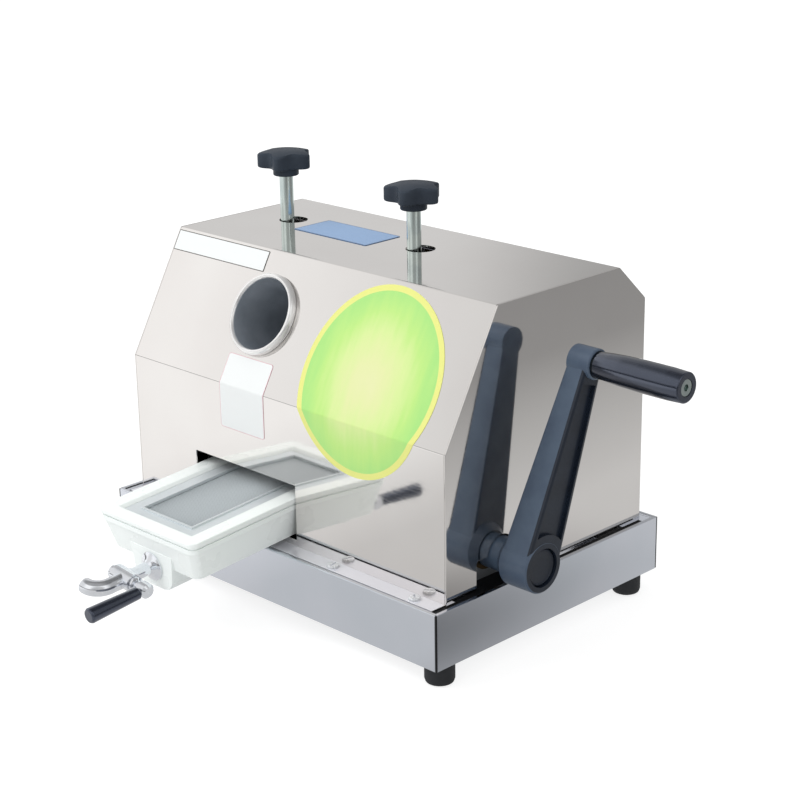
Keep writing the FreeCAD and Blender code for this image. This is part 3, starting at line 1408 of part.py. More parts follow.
nut_prism = doc.addObject("Part::Prism", "locknut_prism")
nut_prism.Polygon = 6
bind(nut_prism, Circumradius="nut_flats_radius", Height="nut_thick")
nut_bore = doc.addObject("Part::Cylinder", "locknut_bore")
bind(nut_bore, Radius="tap_inlet_radius", Height="nut_thick")
flat_nut = joined("Part::Cut", "locknut_cut", nut_prism, nut_bore)
on_tap(flat_nut)
nut_turn = FreeCAD.Rotation(FreeCAD.Vector(1, 0, 0), -90)
nut_spot = FreeCAD.Vector(0, value("tap_face + tray_wall + 0.4"), 0)
flat_nut.Placement = flat_nut.Placement.multiply(FreeCAD.Placement(nut_spot, nut_turn))
keep("tap_locknut", flat_nut)


def bent_tube(name, radius):
    """A straight run forwards, a quarter bend to the left and a short end, as one solid bar."""
    run = "spout_start - spout_turn"
    straight = bar(name + "_run", radius, run, "0", "spout_start", "0", (1, 0, 0), "90")
    bend = doc.addObject("Part::Torus", name + "_bend")
    bind(bend, Radius1="spout_bend", Radius2=radius, Angle3="90")
    bend.Placement = FreeCAD.Placement(
        FreeCAD.Vector(-value("spout_bend"), value("spout_turn"), 0),
        FreeCAD.Rotation(FreeCAD.Vector(0, 0, 1), -90),
    )
    end = bar(
        name + "_end",
        radius,
        "spout_lip",
        "-spout_bend",
        "spout_turn - spout_bend",
        "0",
        (0, 1, 0),
        "-90",
    )
    return joined("Part::Fuse", name + "_whole", joined("Part::Fuse", name + "_fused", straight, bend), end)


spout_outside = bent_tube("outer", "spout_radius")
keep("tap_spout", on_tap(joined("Part::Cut", "spout_cut", spout_outside, bent_tube("inner", "spout_bore"))))

plug = new_body("tap_plug")
profile = [
    ("-16.6", "0"),
    ("-16.6", "4.2"),
    ("-15.6", "5.6"),
    ("-tap_barrel_half - 0.4", "5.6"),
    ("-tap_barrel_half - 0.4", "tap_plug_radius"),
    ("tap_barrel_half + 0.4", "tap_plug_radius"),
    ("tap_barrel_half + 0.4", "6.4"),
    ("tap_barrel_half + 3", "6.4"),
    ("tap_barrel_half + 4", "4.2"),
    ("lever_hub_start", "4.2"),
    ("lever_hub_start", "0"),
]
turn(plug, "XY_Plane", "H_Axis", profile)
pocket(plug, draw(plug, "XZ_Plane", "10", circles=[("0", "0", "tap_inlet_bore")]), "20")
keep("tap_plug", on_tap(plug))

lever = new_body("tap_lever")
profile = [
    ("lever_hub_start", "0"),
    ("lever_hub_start", "lever_hub_radius - 1.2"),
    ("lever_hub_start + 1.4", "lever_hub_radius"),
    ("lever_hub_end - 2", "lever_hub_radius"),
    ("lever_hub_end", "lever_hub_radius - 2"),
    ("lever_hub_end", "0"),
]
turn(lever, "XY_Plane", "H_Axis", profile)
stem = draw(lever, "XZ_Plane", "0", circles=[("(lever_hub_start + lever_hub_end) / 2", "0", "3")])
pad(lever, stem, "lever_length")
keep("tap_lever", on_tap(lever))

handle = new_body("tap_grip")
profile = [
    ("3", "tap_grip_start"),
    ("4.6", "tap_grip_start"),
    ("5", "tap_grip_start - 0.8"),
    ("6.4", "tap_grip_end + 2"),
    ("5.6", "tap_grip_end + 0.5"),
    ("4.4", "tap_grip_end"),
    ("0", "tap_grip_end"),
    ("0", "-lever_length"),
    ("3", "-lever_length"),
]
turn(handle, "XY_Plane", "V_Axis", profile)
on_tap(handle)
hub_middle = FreeCAD.Vector(value("(lever_hub_start + lever_hub_end) / 2"), 0, 0)
handle.Placement = handle.Placement.multiply(FreeCAD.Placement(hub_middle, FreeCAD.Rotation()))
keep("tap_grip", handle)

doc.recompute()
faults = [item.Name for item in doc.Objects if "Invalid" in item.State or "Error" in item.State]
for name, piece in NODES.items():
    shape = piece.Shape
    if shape.isNull() or not shape.isValid() or len(shape.Solids) != 1:
        faults.append(f"{name} solids {len(shape.Solids)}")
if faults:
    raise SystemExit("failed: " + ", ".join(faults))
for name, piece in NODES.items():
    piece.Shape.exportStep(f"parts/{name}.step")
print(len(NODES), "pieces")
print("crank axis", value("crank_axis_y"), value(CRANK_Z), "top axis", value("rod_y"), value(TOP_Z))
print("grip axis", value(GRIP_Y), value(GRIP_Z), "tap", NODES["tap_body"].Placement.Base)
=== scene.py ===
"""Looks of a hand-cranked sugarcane juicer: sheet steel, cast crank, moulded knobs, milky tray and tap."""

import json
import logging
import math
from collections.abc import Callable, Sequence
from dataclasses import dataclass
from enum import Enum

import bmesh
import bpy
from mathutils import Matrix, Vector

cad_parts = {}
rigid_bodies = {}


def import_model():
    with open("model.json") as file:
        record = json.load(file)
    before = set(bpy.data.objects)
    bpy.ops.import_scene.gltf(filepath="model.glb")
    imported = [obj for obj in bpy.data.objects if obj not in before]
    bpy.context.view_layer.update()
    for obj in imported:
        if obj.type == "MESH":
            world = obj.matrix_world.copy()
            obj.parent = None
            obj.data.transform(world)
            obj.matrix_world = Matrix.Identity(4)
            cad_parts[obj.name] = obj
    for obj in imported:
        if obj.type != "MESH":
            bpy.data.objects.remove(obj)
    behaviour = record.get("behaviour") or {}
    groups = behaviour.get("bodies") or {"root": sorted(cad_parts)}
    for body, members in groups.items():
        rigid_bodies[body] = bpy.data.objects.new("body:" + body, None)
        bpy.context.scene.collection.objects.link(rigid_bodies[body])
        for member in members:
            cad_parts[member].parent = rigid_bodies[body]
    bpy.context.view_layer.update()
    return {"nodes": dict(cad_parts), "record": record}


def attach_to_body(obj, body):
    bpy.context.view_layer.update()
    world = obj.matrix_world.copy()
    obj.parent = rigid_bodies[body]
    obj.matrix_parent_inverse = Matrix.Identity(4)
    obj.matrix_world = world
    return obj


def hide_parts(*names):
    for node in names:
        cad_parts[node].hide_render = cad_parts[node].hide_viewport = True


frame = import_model()
MM = 0.001
Colour = tuple[float, float, float, float]
Triple = tuple[float, float, float]
Band = tuple[float, float, float, float]
log = logging.getLogger("juicer")


class Slot(Enum):
    """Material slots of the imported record."""

    MIRROR = "mirror_steel"
    BASE = "base_steel"
    RUBBER = "foot_rubber"
    CAST = "cast_frame"
    ROLLER = "roller_steel"
    GEAR = "gear_iron"
    BRONZE = "bronze"
    CRANK = "crank_paint"
    GLOSS = "black_gloss"
    KNOB = "knob_plastic"
    ZINC = "zinc_rod"
    TRAY = "tray_plastic"
    STRAINER = "strainer_steel"
    CHROME = "tap_chrome"


def linear(code: str) -> Colour:
    """Turn an sRGB hex colour into linear light.

    Args:
        code: The colour as six hex digits after a hash sign.

    Returns:
        Red, green, blue and an alpha of one.
    """
    parts = [int(code[place : place + 2], 16) / 255 for place in (1, 3, 5)]
    light = [part / 12.92 if part <= 0.04045 else ((part + 0.055) / 1.055) ** 2.4 for part in parts]
    return (*light, 1.0)


def add(
    tree: bpy.types.NodeTree, kind: str, inputs: dict | None = None, **settings: object
) -> bpy.types.Node:
    """Add a node to a tree with its settings and links.

    Args:
        tree: The tree that gets the node.
        kind: Blender's name for the kind of node.
        inputs: Input sockets by name, each with a value or with the output socket that feeds it.
        settings: Properties of the node itself.

    Returns:
        The new node.
    """
    node = tree.nodes.new(kind)
    for name, setting in settings.items():
        setattr(node, name, setting)
    for name, source in (inputs or {}).items():
        if isinstance(source, bpy.types.NodeSocket):
            tree.links.new(source, node.inputs[name])
        else:
            node.inputs[name].default_value = source
    return node


def fade(value: bpy.types.NodeSocket, band: Band) -> dict:
    """Write the inputs of a node that maps one range to another.

    Args:
        value: The output socket that is mapped.
        band: Start and end of what comes in, then start and end of what goes out.

    Returns:
        The inputs by name.
    """
    return {"Value": value, "From Min": band[0], "From Max": band[1], "To Min": band[2], "To Max": band[3]}


def set_stops(ramp: bpy.types.ColorRamp, stops: Sequence[tuple[float, Colour]]) -> None:
    """Give a new colour ramp its stops.

    Args:
        ramp: The ramp, which still has its first two stops.
        stops: Place and colour of each stop, in rising order.
    """
    for stop, (place, _) in zip(ramp.elements, stops):
        stop.position = place
    for place, _ in stops[2:]:
        ramp.elements.new(place)
    for stop, (_, colour) in zip(ramp.elements, stops):
        stop.color = colour


@dataclass(frozen=True)
class Finish:
    """One finish: what the real surface is and how it was made, as colour, gloss and fine relief.

    The pattern sizes are in millimetres: mottle_mm is the width of a tone patch, grain_mm the width of a
    scratch or pebble, stretch its shares along the axes, and relief_mm its depth.
    """

    name: str
    colour: str
    mottle: str
    roughness: tuple[float, float]
    metallic: float = 0.0
    ior: float = 1.5
    mottle_mm: float = 30.0
    grain_mm: float = 2.0
    stretch: Triple = (1.0, 1.0, 1.0)
    relief_mm: float = 0.01
    coat: float = 0.0
    coat_roughness: float = 0.05
    specular: float = 0.5
    tint: str = "#ffffff"

    def build(self) -> bpy.types.Material:
        """Make the material, or return it if an earlier piece has made it.

        Returns:
            The material.
        """
        ready = bpy.data.materials.get(self.name)
        if ready:
            return ready
        material = bpy.data.materials.new(self.name)
        material.use_nodes = True
        tree = material.node_tree
        tree.nodes.clear()
        place = add(tree, "ShaderNodeTexCoord")
        drawn = add(tree, "ShaderNodeMapping", {"Vector": place.outputs["Object"], "Scale": self.stretch})
        cloud = add(
            tree,
            "ShaderNodeTexNoise",
            {"Vector": place.outputs["Object"], "Scale": 1 / (self.mottle_mm * MM), "Detail": 3.0},
        )
        grain = add(
            tree,
            "ShaderNodeTexNoise",
            {"Vector": drawn.outputs["Vector"], "Scale": 1 / (self.grain_mm * MM), "Detail": 2.0},
        )
        spread = add(tree, "ShaderNodeMapRange", fade(cloud.outputs["Fac"], (0.35, 0.65, 0.0, 1.0)))
        tint = add(tree, "ShaderNodeMix", {"Factor": spread.outputs["Result"]}, data_type="RGBA")
        tint.inputs[6].default_value = linear(self.colour)
        tint.inputs[7].default_value = linear(self.mottle)
        gloss = add(tree, "ShaderNodeMapRange", fade(grain.outputs["Fac"], (0.3, 0.7, *self.roughness)))
        relief = add(
            tree,
            "ShaderNodeBump",
            {"Height": grain.outputs["Fac"], "Distance": self.relief_mm * MM, "Strength": 1.0},
        )
        shader = add(
            tree,
            "ShaderNodeBsdfPrincipled",
            {
                "Base Color": tint.outputs[2],
                "Roughness": gloss.outputs["Result"],
                "Normal": relief.outputs["Normal"],
                "Metallic": self.metallic,
                "Coat Weight": self.coat,
                "Coat Roughness": self.coat_roughness,
                "Specular IOR Level": self.specular,
                "Specular Tint": linear(self.tint),
            },
        )
        if not self.metallic:
            shader.inputs["IOR"].default_value = self.ior
        add(tree, "ShaderNodeOutputMaterial", {"Surface": shader.outputs["BSDF"]})
        return material


# Stainless sheet with a mirror polish: nearly colourless, with faint polishing haze drawn along the sheet.
MIRROR_STEEL = Finish(
    "polished_stainless_sheet", "#f2efec", "#eeeae7", (0.04, 0.08), metallic=1.0, mottle_mm=120.0,
    grain_mm=1.2, stretch=(0.06, 1.0, 1.0), relief_mm=0.0015,
)
# The folded foot strip gets a lighter, half white copy of the hood's steel as painted light, so it is nearly
# white under the sky.
STRIP_PAINTED_LIGHT = Finish(
    "polished_stainless_strip", "#f4f4fa", "#eeeff7", (0.08, 0.14), metallic=0.5, mottle_mm=80.0,
    grain_mm=1.2, stretch=(0.06, 1.0, 1.0), relief_mm=0.0015,
)
# Inside the feed mouth the tube's steel gets a dull grey copy with little metal, as painted shade of the
# bore, so it only catches a soft light.
BORE_PAINTED_SHADE = Finish(
    "unpolished_tube_bore", "#a4abb4", "#929aa3", (0.3, 0.42), metallic=0.25, mottle_mm=24.0, grain_mm=1.5,
    relief_mm=0.01,
)
# The deck below the hood only shows in the gaps, and it is painted nearly black as the shade in those gaps.
PAINTED_SHADE_DECK = Finish(
    "unpolished_deck_sheet", "#26282b", "#1e2023", (0.45, 0.6), metallic=0.6, mottle_mm=40.0, relief_mm=0.01,
)
# Painted shadow of the base's corner joints: a black bead in each.
SEAM_SHADE_BEAD = Finish("black_sealant", "#0d0e10", "#121316", (0.4, 0.5), ior=1.45, relief_mm=0.02)
# The base is a duller, satin stainless with a cooler cast, so it mirrors softly.
BASE_STEEL = Finish(
    "satin_stainless_sheet", "#e6e9f1", "#dfe4ec", (0.1, 0.18), metallic=1.0, mottle_mm=90.0,
    grain_mm=0.9, stretch=(0.05, 0.05, 1.0), relief_mm=0.002,
)
# Black rubber is matt, a little grey where it is worn, with a moulded pebble.
FOOT_RUBBER = Finish(
    "moulded_rubber", "#1c1e22", "#24262a", (0.5, 0.7), ior=1.52, grain_mm=1.0, relief_mm=0.03,
)
# Sand-cast iron keeps a coarse pebbled skin under grey machine paint.
CAST_IRON = Finish("painted_cast_iron", "#73767a", "#666a6e", (0.4, 0.6), grain_mm=1.5, relief_mm=0.06)
# Turned steel shows fine rings across the bar.
TURNED_STEEL = Finish(
    "turned_steel", "#b9bbbd", "#adb0b3", (0.2, 0.32), metallic=1.0, grain_mm=0.5,
    stretch=(1.0, 0.05, 0.05), relief_mm=0.004,
)
# Oiled gear iron is dark with a wet sheen.
GEAR_IRON = Finish(
    "oiled_gear_iron", "#55585c", "#3f4246", (0.25, 0.45), metallic=1.0, grain_mm=1.2, relief_mm=0.02,
)
# Bearing bronze is painted a dark warm brown as shade, where the bush sits in the panel's notch.
BRONZE = Finish("bearing_bronze", "#4f4029", "#403422", (0.35, 0.5), metallic=1.0, relief_mm=0.006)
# Gloss enamel over a casting: a blue grey, with the casting's soft pebble under a clear top.
CRANK_ENAMEL = Finish(
    "enamelled_casting", "#4b5a6c", "#425063", (0.34, 0.44), ior=1.45, mottle_mm=18.0, grain_mm=2.2,
    relief_mm=0.02, coat=0.25, coat_roughness=0.15,
)
# The arm's pressed outer side and its cap get a nearly black copy of the enamel, as painted shade on the
# faces turned from the light.
CRANK_PAINTED_SHADE = Finish(
    "enamelled_hollow", "#1a2331", "#151d29", (0.36, 0.46), ior=1.45, mottle_mm=18.0, grain_mm=2.2,
    relief_mm=0.02, coat=0.15, coat_roughness=0.2,
)
# The feed tube's outside and rolled mouth get a brighter, half white copy of the steel as painted light, so
# the rim stays bright from every side.
MOUTH_PAINTED_LIGHT = Finish(
    "buffed_stainless_mouth", "#f6f5f4", "#efeeed", (0.14, 0.22), metallic=0.6, grain_mm=1.0,
    relief_mm=0.002,
)
# Plated screws in the foot strip are bright and a little satin.
SCREW_PLATE = Finish("bright_plated_screw", "#eceef2", "#e2e5ea", (0.2, 0.3), metallic=0.5, relief_mm=0.004)
# Glossy moulded plastic of the grips is almost black, with a long cool streak of light.
GRIP_PLASTIC = Finish(
    "moulded_gloss_plastic", "#0c1017", "#10141c", (0.16, 0.22), ior=1.6, grain_mm=3.0, relief_mm=0.004,
    coat=1.0, coat_roughness=0.08, specular=1.0, tint="#c8d8ff",
)
# Knobs are phenolic moulding, a dark blue grey with hardly any gloss.
KNOB_PHENOLIC = Finish(
    "moulded_phenolic", "#3c434c", "#353b44", (0.28, 0.36), ior=1.45, grain_mm=1.6, relief_mm=0.006,
    specular=0.05,
)
# Bright zinc plate has a cool, faintly green cast and drawn lines along the bar.
ZINC_PLATE = Finish(
    "bright_zinc_plate", "#d5e0dc", "#c3cfce", (0.14, 0.24), metallic=1.0, mottle_mm=14.0, grain_mm=0.8,
    stretch=(1.0, 1.0, 0.05), relief_mm=0.003,
)
# Milky polypropylene is nearly white with a cool, faintly green cast and a soft gloss.
MILKY_POLY = Finish(
    "milky_polypropylene", "#f3f8f7", "#eff5f3", (0.26, 0.3), ior=1.49, mottle_mm=160.0, grain_mm=30.0,
    relief_mm=0.001,
)
# Pressed stainless of the strainer frame, satin.
STRAINER_STEEL = Finish(
    "pressed_stainless", "#dde3e6", "#d6dde0", (0.42, 0.5), metallic=0.35, grain_mm=0.8, relief_mm=0.004
)
# Bright chrome plate on brass: a clean mirror with a slight cool cast.
CHROME_PLATE = Finish(
    "bright_chrome_plate", "#f2f4f8", "#eaedf3", (0.02, 0.05), metallic=0.9, mottle_mm=8.0, grain_mm=4.0,
    relief_mm=0.004,
)

SLOT_FINISH = {
    Slot.MIRROR: MIRROR_STEEL,
    Slot.BASE: BASE_STEEL,
    Slot.RUBBER: FOOT_RUBBER,
    Slot.CAST: CAST_IRON,
    Slot.ROLLER: TURNED_STEEL,
    Slot.GEAR: GEAR_IRON,
    Slot.BRONZE: BRONZE,
    Slot.CRANK: CRANK_ENAMEL,
    Slot.GLOSS: GRIP_PLASTIC,
    Slot.KNOB: KNOB_PHENOLIC,
    Slot.ZINC: ZINC_PLATE,
    Slot.TRAY: MILKY_POLY,
    Slot.STRAINER: STRAINER_STEEL,
    Slot.CHROME: CHROME_PLATE,
}
NODE_SLOT = {part["node"]: Slot(part["material_slot"]) for part in frame["record"]["subparts"]}
NODE_BODY = {
    node: body for body, members in frame["record"]["behaviour"]["bodies"].items() for node in members
}


def finished(
    name: str, mesh: bmesh.types.BMesh, materials: list[bpy.types.Material], smooth: float = 32.0
) -> bpy.types.Object:
    """Turn a bmesh into a piece at the origin, smooth except at sharp edges.

    Args:
        name: Name of the piece.
        mesh: The shape, already in place; it is used up.
        materials: Materials in the order of the faces' indices.
        smooth: Greatest angle in degrees that is still shaded smooth, or nothing for flat faces.

    Returns:
        The piece's object.
    """
    data = bpy.data.meshes.new(name)
    mesh.to_mesh(data)
    mesh.free()
    for material in materials:
        data.materials.append(material)
    data.polygons.foreach_set("use_smooth", [smooth > 0] * len(data.polygons))
    data.set_sharp_from_angle(angle=math.radians(smooth))
    piece = bpy.data.objects.new(name, data)
    bpy.context.scene.collection.objects.link(piece)
    return piece


def attach(piece: bpy.types.Object, body: str) -> bpy.types.Object:
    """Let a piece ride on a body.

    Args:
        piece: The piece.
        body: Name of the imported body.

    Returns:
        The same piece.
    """
    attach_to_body(piece, body)
    return piece


def recast(
    node: str,
    edge_mm: float = 0.0,
    segments: int = 3,
    corner: float = 40.0,
    finish: Finish | None = None,
    second: tuple[Callable[[Vector], bool], Finish] | None = None,
    nudge: Callable[[Vector], Vector] | None = None,
    wide: tuple[Callable[[Vector], bool], float] | None = None,
) -> bpy.types.Object:
    """Replace a CAD node by the same shape with merged faces and rounded edges.

    Args:
        node: The CAD node.
        edge_mm: Width of the rounding on sharp edges, or nothing for none.
        segments: Steps of the rounding.
        corner: Least angle in degrees of an edge that is rounded.
        finish: A finish other than the slot's.
        second: A test of a face's middle and the finish of the faces that pass it.
        nudge: A small shift of each corner, worked out from its place.
        wide: A test of an edge's middle and the width of the chamfer on the edges that pass it.

    Returns:
        The new piece.
    """
    merged_mm = 0.002
    flat_degrees = 0.6
    slot = NODE_SLOT[node]
    mesh = bmesh.new()
    mesh.from_mesh(frame["nodes"][node].data)
    bmesh.ops.remove_doubles(mesh, verts=mesh.verts[:], dist=merged_mm * MM)
    bmesh.ops.dissolve_limit(
        mesh, angle_limit=math.radians(flat_degrees), verts=mesh.verts[:], edges=mesh.edges[:]
    )
    for face in mesh.faces:
        face.material_index = int(bool(second) and second[0](face.calc_center_median()))
    if nudge:
        for vert in mesh.verts:
            vert.co += nudge(vert.co)
    if wide:
        cut = [edge for edge in mesh.edges if wide[0]((edge.verts[0].co + edge.verts[1].co) / 2)]
        bmesh.ops.bevel(
            mesh, geom=cut, offset=wide[1] * MM, offset_type="OFFSET", affect="EDGES", segments=1,
            profile=0.5, material=-1,
        )
    if edge_mm:
        least = math.radians(corner)
        sharp = [edge for edge in mesh.edges if edge.is_manifold and edge.calc_face_angle() > least]
        bmesh.ops.bevel(
            mesh, geom=sharp, offset=edge_mm * MM, offset_type="OFFSET", affect="EDGES", segments=segments,
            profile=0.5, material=-1, clamp_overlap=True,
        )
    finishes = [finish or SLOT_FINISH[slot]] + ([second[1]] if second else [])
    piece = finished(node + "_made", mesh, [each.build() for each in finishes])
    weight = piece.modifiers.new("even_normals", "WEIGHTED_NORMAL")
    weight.keep_sharp = True
    attach(piece, NODE_BODY[node])
    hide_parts(node)
    return piece


@dataclass
class Studio:
    """Camera, floor, sky and lamps, in metres.

    What metal mirrors is drawn apart from what the camera sees. In the sky each band gives where a change
    starts and ends along a direction and the light before and after it: side and front run along X, behind
    along Y, ceiling along Z, skyline along the distance from the horizon, viewer along the line to the
    camera, and ambient along the line to where the soft light comes from.
    """

    place: Triple = (1.102132, -1.073783, 0.679441)
    ahead: Triple = (-0.670763, 0.6681, -0.322056)
    roll: float = -0.887
    lens: float = 86.733
    sensor: float = 36.0
    floor_reach: float = 5.0
    floor_tone: float = 0.32
    floor_glow: float = 0.8
    floor_bounce: float = 0.8
    sweep: tuple[tuple[float, float], ...] = (
        (-0.6, 1.0),
        (-0.37, 0.98),
        (-0.2, 0.84),
        (-0.05, 0.62),
        (0.1, 0.6),
        (0.36, 0.6),
        (0.68, 0.3),
        (1.0, 0.28),
    )
    near_place: Triple = (0.28, -0.12, 0.0)
    near_reach: Triple = (0.13, 0.32, 1.0)
    near: Band = (0.0, 1.2, 0.3, 1.0)
    side: Band = (-0.675, -0.6, 0.66, 0.39)
    behind: Band = (-0.2, 0.35, 0.0, 1.0)
    front_span: Band = (-0.8, 0.0, 0.0, 1.0)
    front: tuple[tuple[float, str], ...] = (
        (0.06, "#ffffff"),
        (0.19, "#e0e0e0"),
        (0.45, "#e0e0e0"),
        (0.75, "#ffffff"),
    )
    skyline: Band = (0.07, 0.15, 0.12, 1.0)
    ceiling: Band = (0.72, 0.86, 1.0, 0.3)
    viewer_way: Triple = (0.67, -0.67, 0.32)
    viewer: Band = (0.8, 0.96, 1.0, 0.5)
    ambient_way: Triple = (-0.72, -0.48, 0.5)
    ambient: Band = (-0.8, 0.7, 0.48, 1.08)
    hung: tuple[tuple[str, Triple, float, float], ...] = (
        ("key", (-1.1, -1.5, 2.0), 24.0, 1.3),
        ("fill", (1.6, -0.4, 1.4), 3.0, 1.0),
    )
    aimed_at: Triple = (0.0, 0.0, 0.15)

    def build(self) -> None:
        """Set the camera up first, then what lights the object."""
        self.camera()
        self.floor()
        self.sky()
        self.lamps()

    def camera(self) -> None:
        """Place the camera at the photograph's viewing angle."""
        data = bpy.data.cameras.new("view")
        data.lens = self.lens
        data.sensor_width = self.sensor
        data.clip_start = 0.05
        camera = bpy.data.objects.new("view", data)
        turn = Vector(self.ahead).to_track_quat("-Z", "Y").to_matrix().to_4x4()
        roll = Matrix.Rotation(math.radians(self.roll), 4, "Z")
        camera.matrix_world = Matrix.Translation(self.place) @ turn @ roll
        bpy.context.scene.collection.objects.link(camera)
        bpy.context.scene.camera = camera

    def floor(self) -> None:
        """Lay a white floor that keeps a soft shadow and mirrors as a shaded sweep."""
        mesh = bmesh.new()
        bmesh.ops.create_grid(mesh, x_segments=1, y_segments=1, size=self.floor_reach)
        material = bpy.data.materials.new("paper_sweep")
        material.use_nodes = True
        tree = material.node_tree
        tree.nodes.clear()
        place = add(tree, "ShaderNodeTexCoord")
        split = add(tree, "ShaderNodeSeparateXYZ", {"Vector": place.outputs["Object"]})
        start = self.sweep[0][0]
        end = self.sweep[-1][0]
        along = add(tree, "ShaderNodeMapRange", fade(split.outputs["X"], (start, end, 0.0, 1.0)))
        ramp = add(tree, "ShaderNodeValToRGB", {"Fac": along.outputs["Result"]})
        stops = [((spot - start) / (end - start), (light, light, light, 1.0)) for spot, light in self.sweep]
        set_stops(ramp.color_ramp, stops)
        near = add(tree, "ShaderNodeMapping", {"Vector": place.outputs["Object"]}, vector_type="TEXTURE")
        near.inputs["Location"].default_value = self.near_place
        near.inputs["Scale"].default_value = self.near_reach
        away = add(tree, "ShaderNodeVectorMath", {0: near.outputs["Vector"]}, operation="LENGTH")
        shade = add(tree, "ShaderNodeMapRange", fade(away.outputs["Value"], self.near))
        shade.interpolation_type = "SMOOTHSTEP"
        path = add(tree, "ShaderNodeLightPath")
        lit = add(tree, "ShaderNodeBsdfDiffuse", {"Color": (*[self.floor_tone] * 3, 1.0)})
        glow = add(tree, "ShaderNodeEmission", {"Color": linear("#ffffff"), "Strength": self.floor_glow})
        seen = add(tree, "ShaderNodeAddShader")
        tree.links.new(lit.outputs[0], seen.inputs[0])
        tree.links.new(glow.outputs[0], seen.inputs[1])
        mirrored = add(
            tree, "ShaderNodeEmission", {"Color": ramp.outputs["Color"], "Strength": shade.outputs["Result"]}
        )
        plain = add(tree, "ShaderNodeBsdfDiffuse", {"Color": (*[self.floor_bounce] * 3, 1.0)})
        first = add(tree, "ShaderNodeMixShader", {"Fac": path.outputs["Is Glossy Ray"]})
        tree.links.new(plain.outputs[0], first.inputs[1])
        tree.links.new(mirrored.outputs[0], first.inputs[2])
        last = add(tree, "ShaderNodeMixShader", {"Fac": path.outputs["Is Camera Ray"]})
        tree.links.new(first.outputs[0], last.inputs[1])
        tree.links.new(seen.outputs[0], last.inputs[2])
        add(tree, "ShaderNodeOutputMaterial", {"Surface": last.outputs[0]})
        finished("floor", mesh, [material])

    def sky(self) -> None:
        """Give a white surround that metal mirrors as white in front and grey behind."""
        world = bpy.data.worlds.new("surround")
        world.use_nodes = True
        bpy.context.scene.world = world
        tree = world.node_tree
        tree.nodes.clear()
        place = add(tree, "ShaderNodeTexCoord")
        split = add(tree, "ShaderNodeSeparateXYZ", {"Vector": place.outputs["Generated"]})
        smooth = {"interpolation_type": "SMOOTHSTEP"}
        side = add(tree, "ShaderNodeMapRange", fade(split.outputs["X"], self.side), **smooth)
        behind = add(tree, "ShaderNodeMapRange", fade(split.outputs["Y"], self.behind), **smooth)
        across = add(tree, "ShaderNodeMapRange", fade(split.outputs["X"], self.front_span))
        front = add(tree, "ShaderNodeValToRGB", {"Fac": across.outputs["Result"]})
        set_stops(front.color_ramp, [(spot, linear(code)) for spot, code in self.front])
        shade = add(tree, "ShaderNodeMix", {"Factor": behind.outputs["Result"]}, data_type="FLOAT")
        tree.links.new(front.outputs["Color"], shade.inputs[2])
        tree.links.new(side.outputs["Result"], shade.inputs[3])
        low = add(tree, "ShaderNodeMath", {0: split.outputs["Z"]}, operation="ABSOLUTE")
        skyline = add(tree, "ShaderNodeMapRange", fade(low.outputs[0], self.skyline), **smooth)
        ceiling = add(tree, "ShaderNodeMapRange", fade(split.outputs["Z"], self.ceiling), **smooth)
        toward = add(
            tree,
            "ShaderNodeVectorMath",
            {0: place.outputs["Generated"], 1: self.viewer_way},
            operation="DOT_PRODUCT",
        )
        viewer = add(tree, "ShaderNodeMapRange", fade(toward.outputs["Value"], self.viewer), **smooth)
        final = shade.outputs[0]
        for dimmer in (skyline, ceiling, viewer):
            product = add(
                tree, "ShaderNodeMath", {0: dimmer.outputs["Result"], 1: final}, operation="MULTIPLY"
            )
            final = product.outputs[0]
        path = add(tree, "ShaderNodeLightPath")
        white = linear("#ffffff")
        mirrored = add(tree, "ShaderNodeBackground", {"Color": white, "Strength": final})
        lit_from = add(
            tree,
            "ShaderNodeVectorMath",
            {0: place.outputs["Generated"], 1: self.ambient_way},
            operation="DOT_PRODUCT",
        )
        ambient = add(tree, "ShaderNodeMapRange", fade(lit_from.outputs["Value"], self.ambient))
        soft = add(tree, "ShaderNodeBackground", {"Color": white, "Strength": ambient.outputs["Result"]})
        seen = add(tree, "ShaderNodeBackground", {"Color": white, "Strength": 1.0})
        first = add(tree, "ShaderNodeMixShader", {"Fac": path.outputs["Is Glossy Ray"]})
        tree.links.new(soft.outputs[0], first.inputs[1])
        tree.links.new(mirrored.outputs[0], first.inputs[2])
        last = add(tree, "ShaderNodeMixShader", {"Fac": path.outputs["Is Camera Ray"]})
        tree.links.new(first.outputs[0], last.inputs[1])
        tree.links.new(seen.outputs[0], last.inputs[2])
        add(tree, "ShaderNodeOutputWorld", {"Surface": last.outputs[0]})

    def lamps(self) -> None:
        """Hang a broad key lamp to the front left and a weaker one to the right."""
        for name, spot, watts, size in self.hung:
            data = bpy.data.lights.new(name, "AREA")
            data.energy = watts
            data.size = size
            lamp = bpy.data.objects.new(name, data)
            lamp.visible_glossy = False
            aim = (Vector(self.aimed_at) - Vector(spot)).to_track_quat("-Z", "Y")
            lamp.matrix_world = Matrix.Translation(spot) @ aim.to_matrix().to_4x4()
            bpy.context.scene.collection.objects.link(lamp)


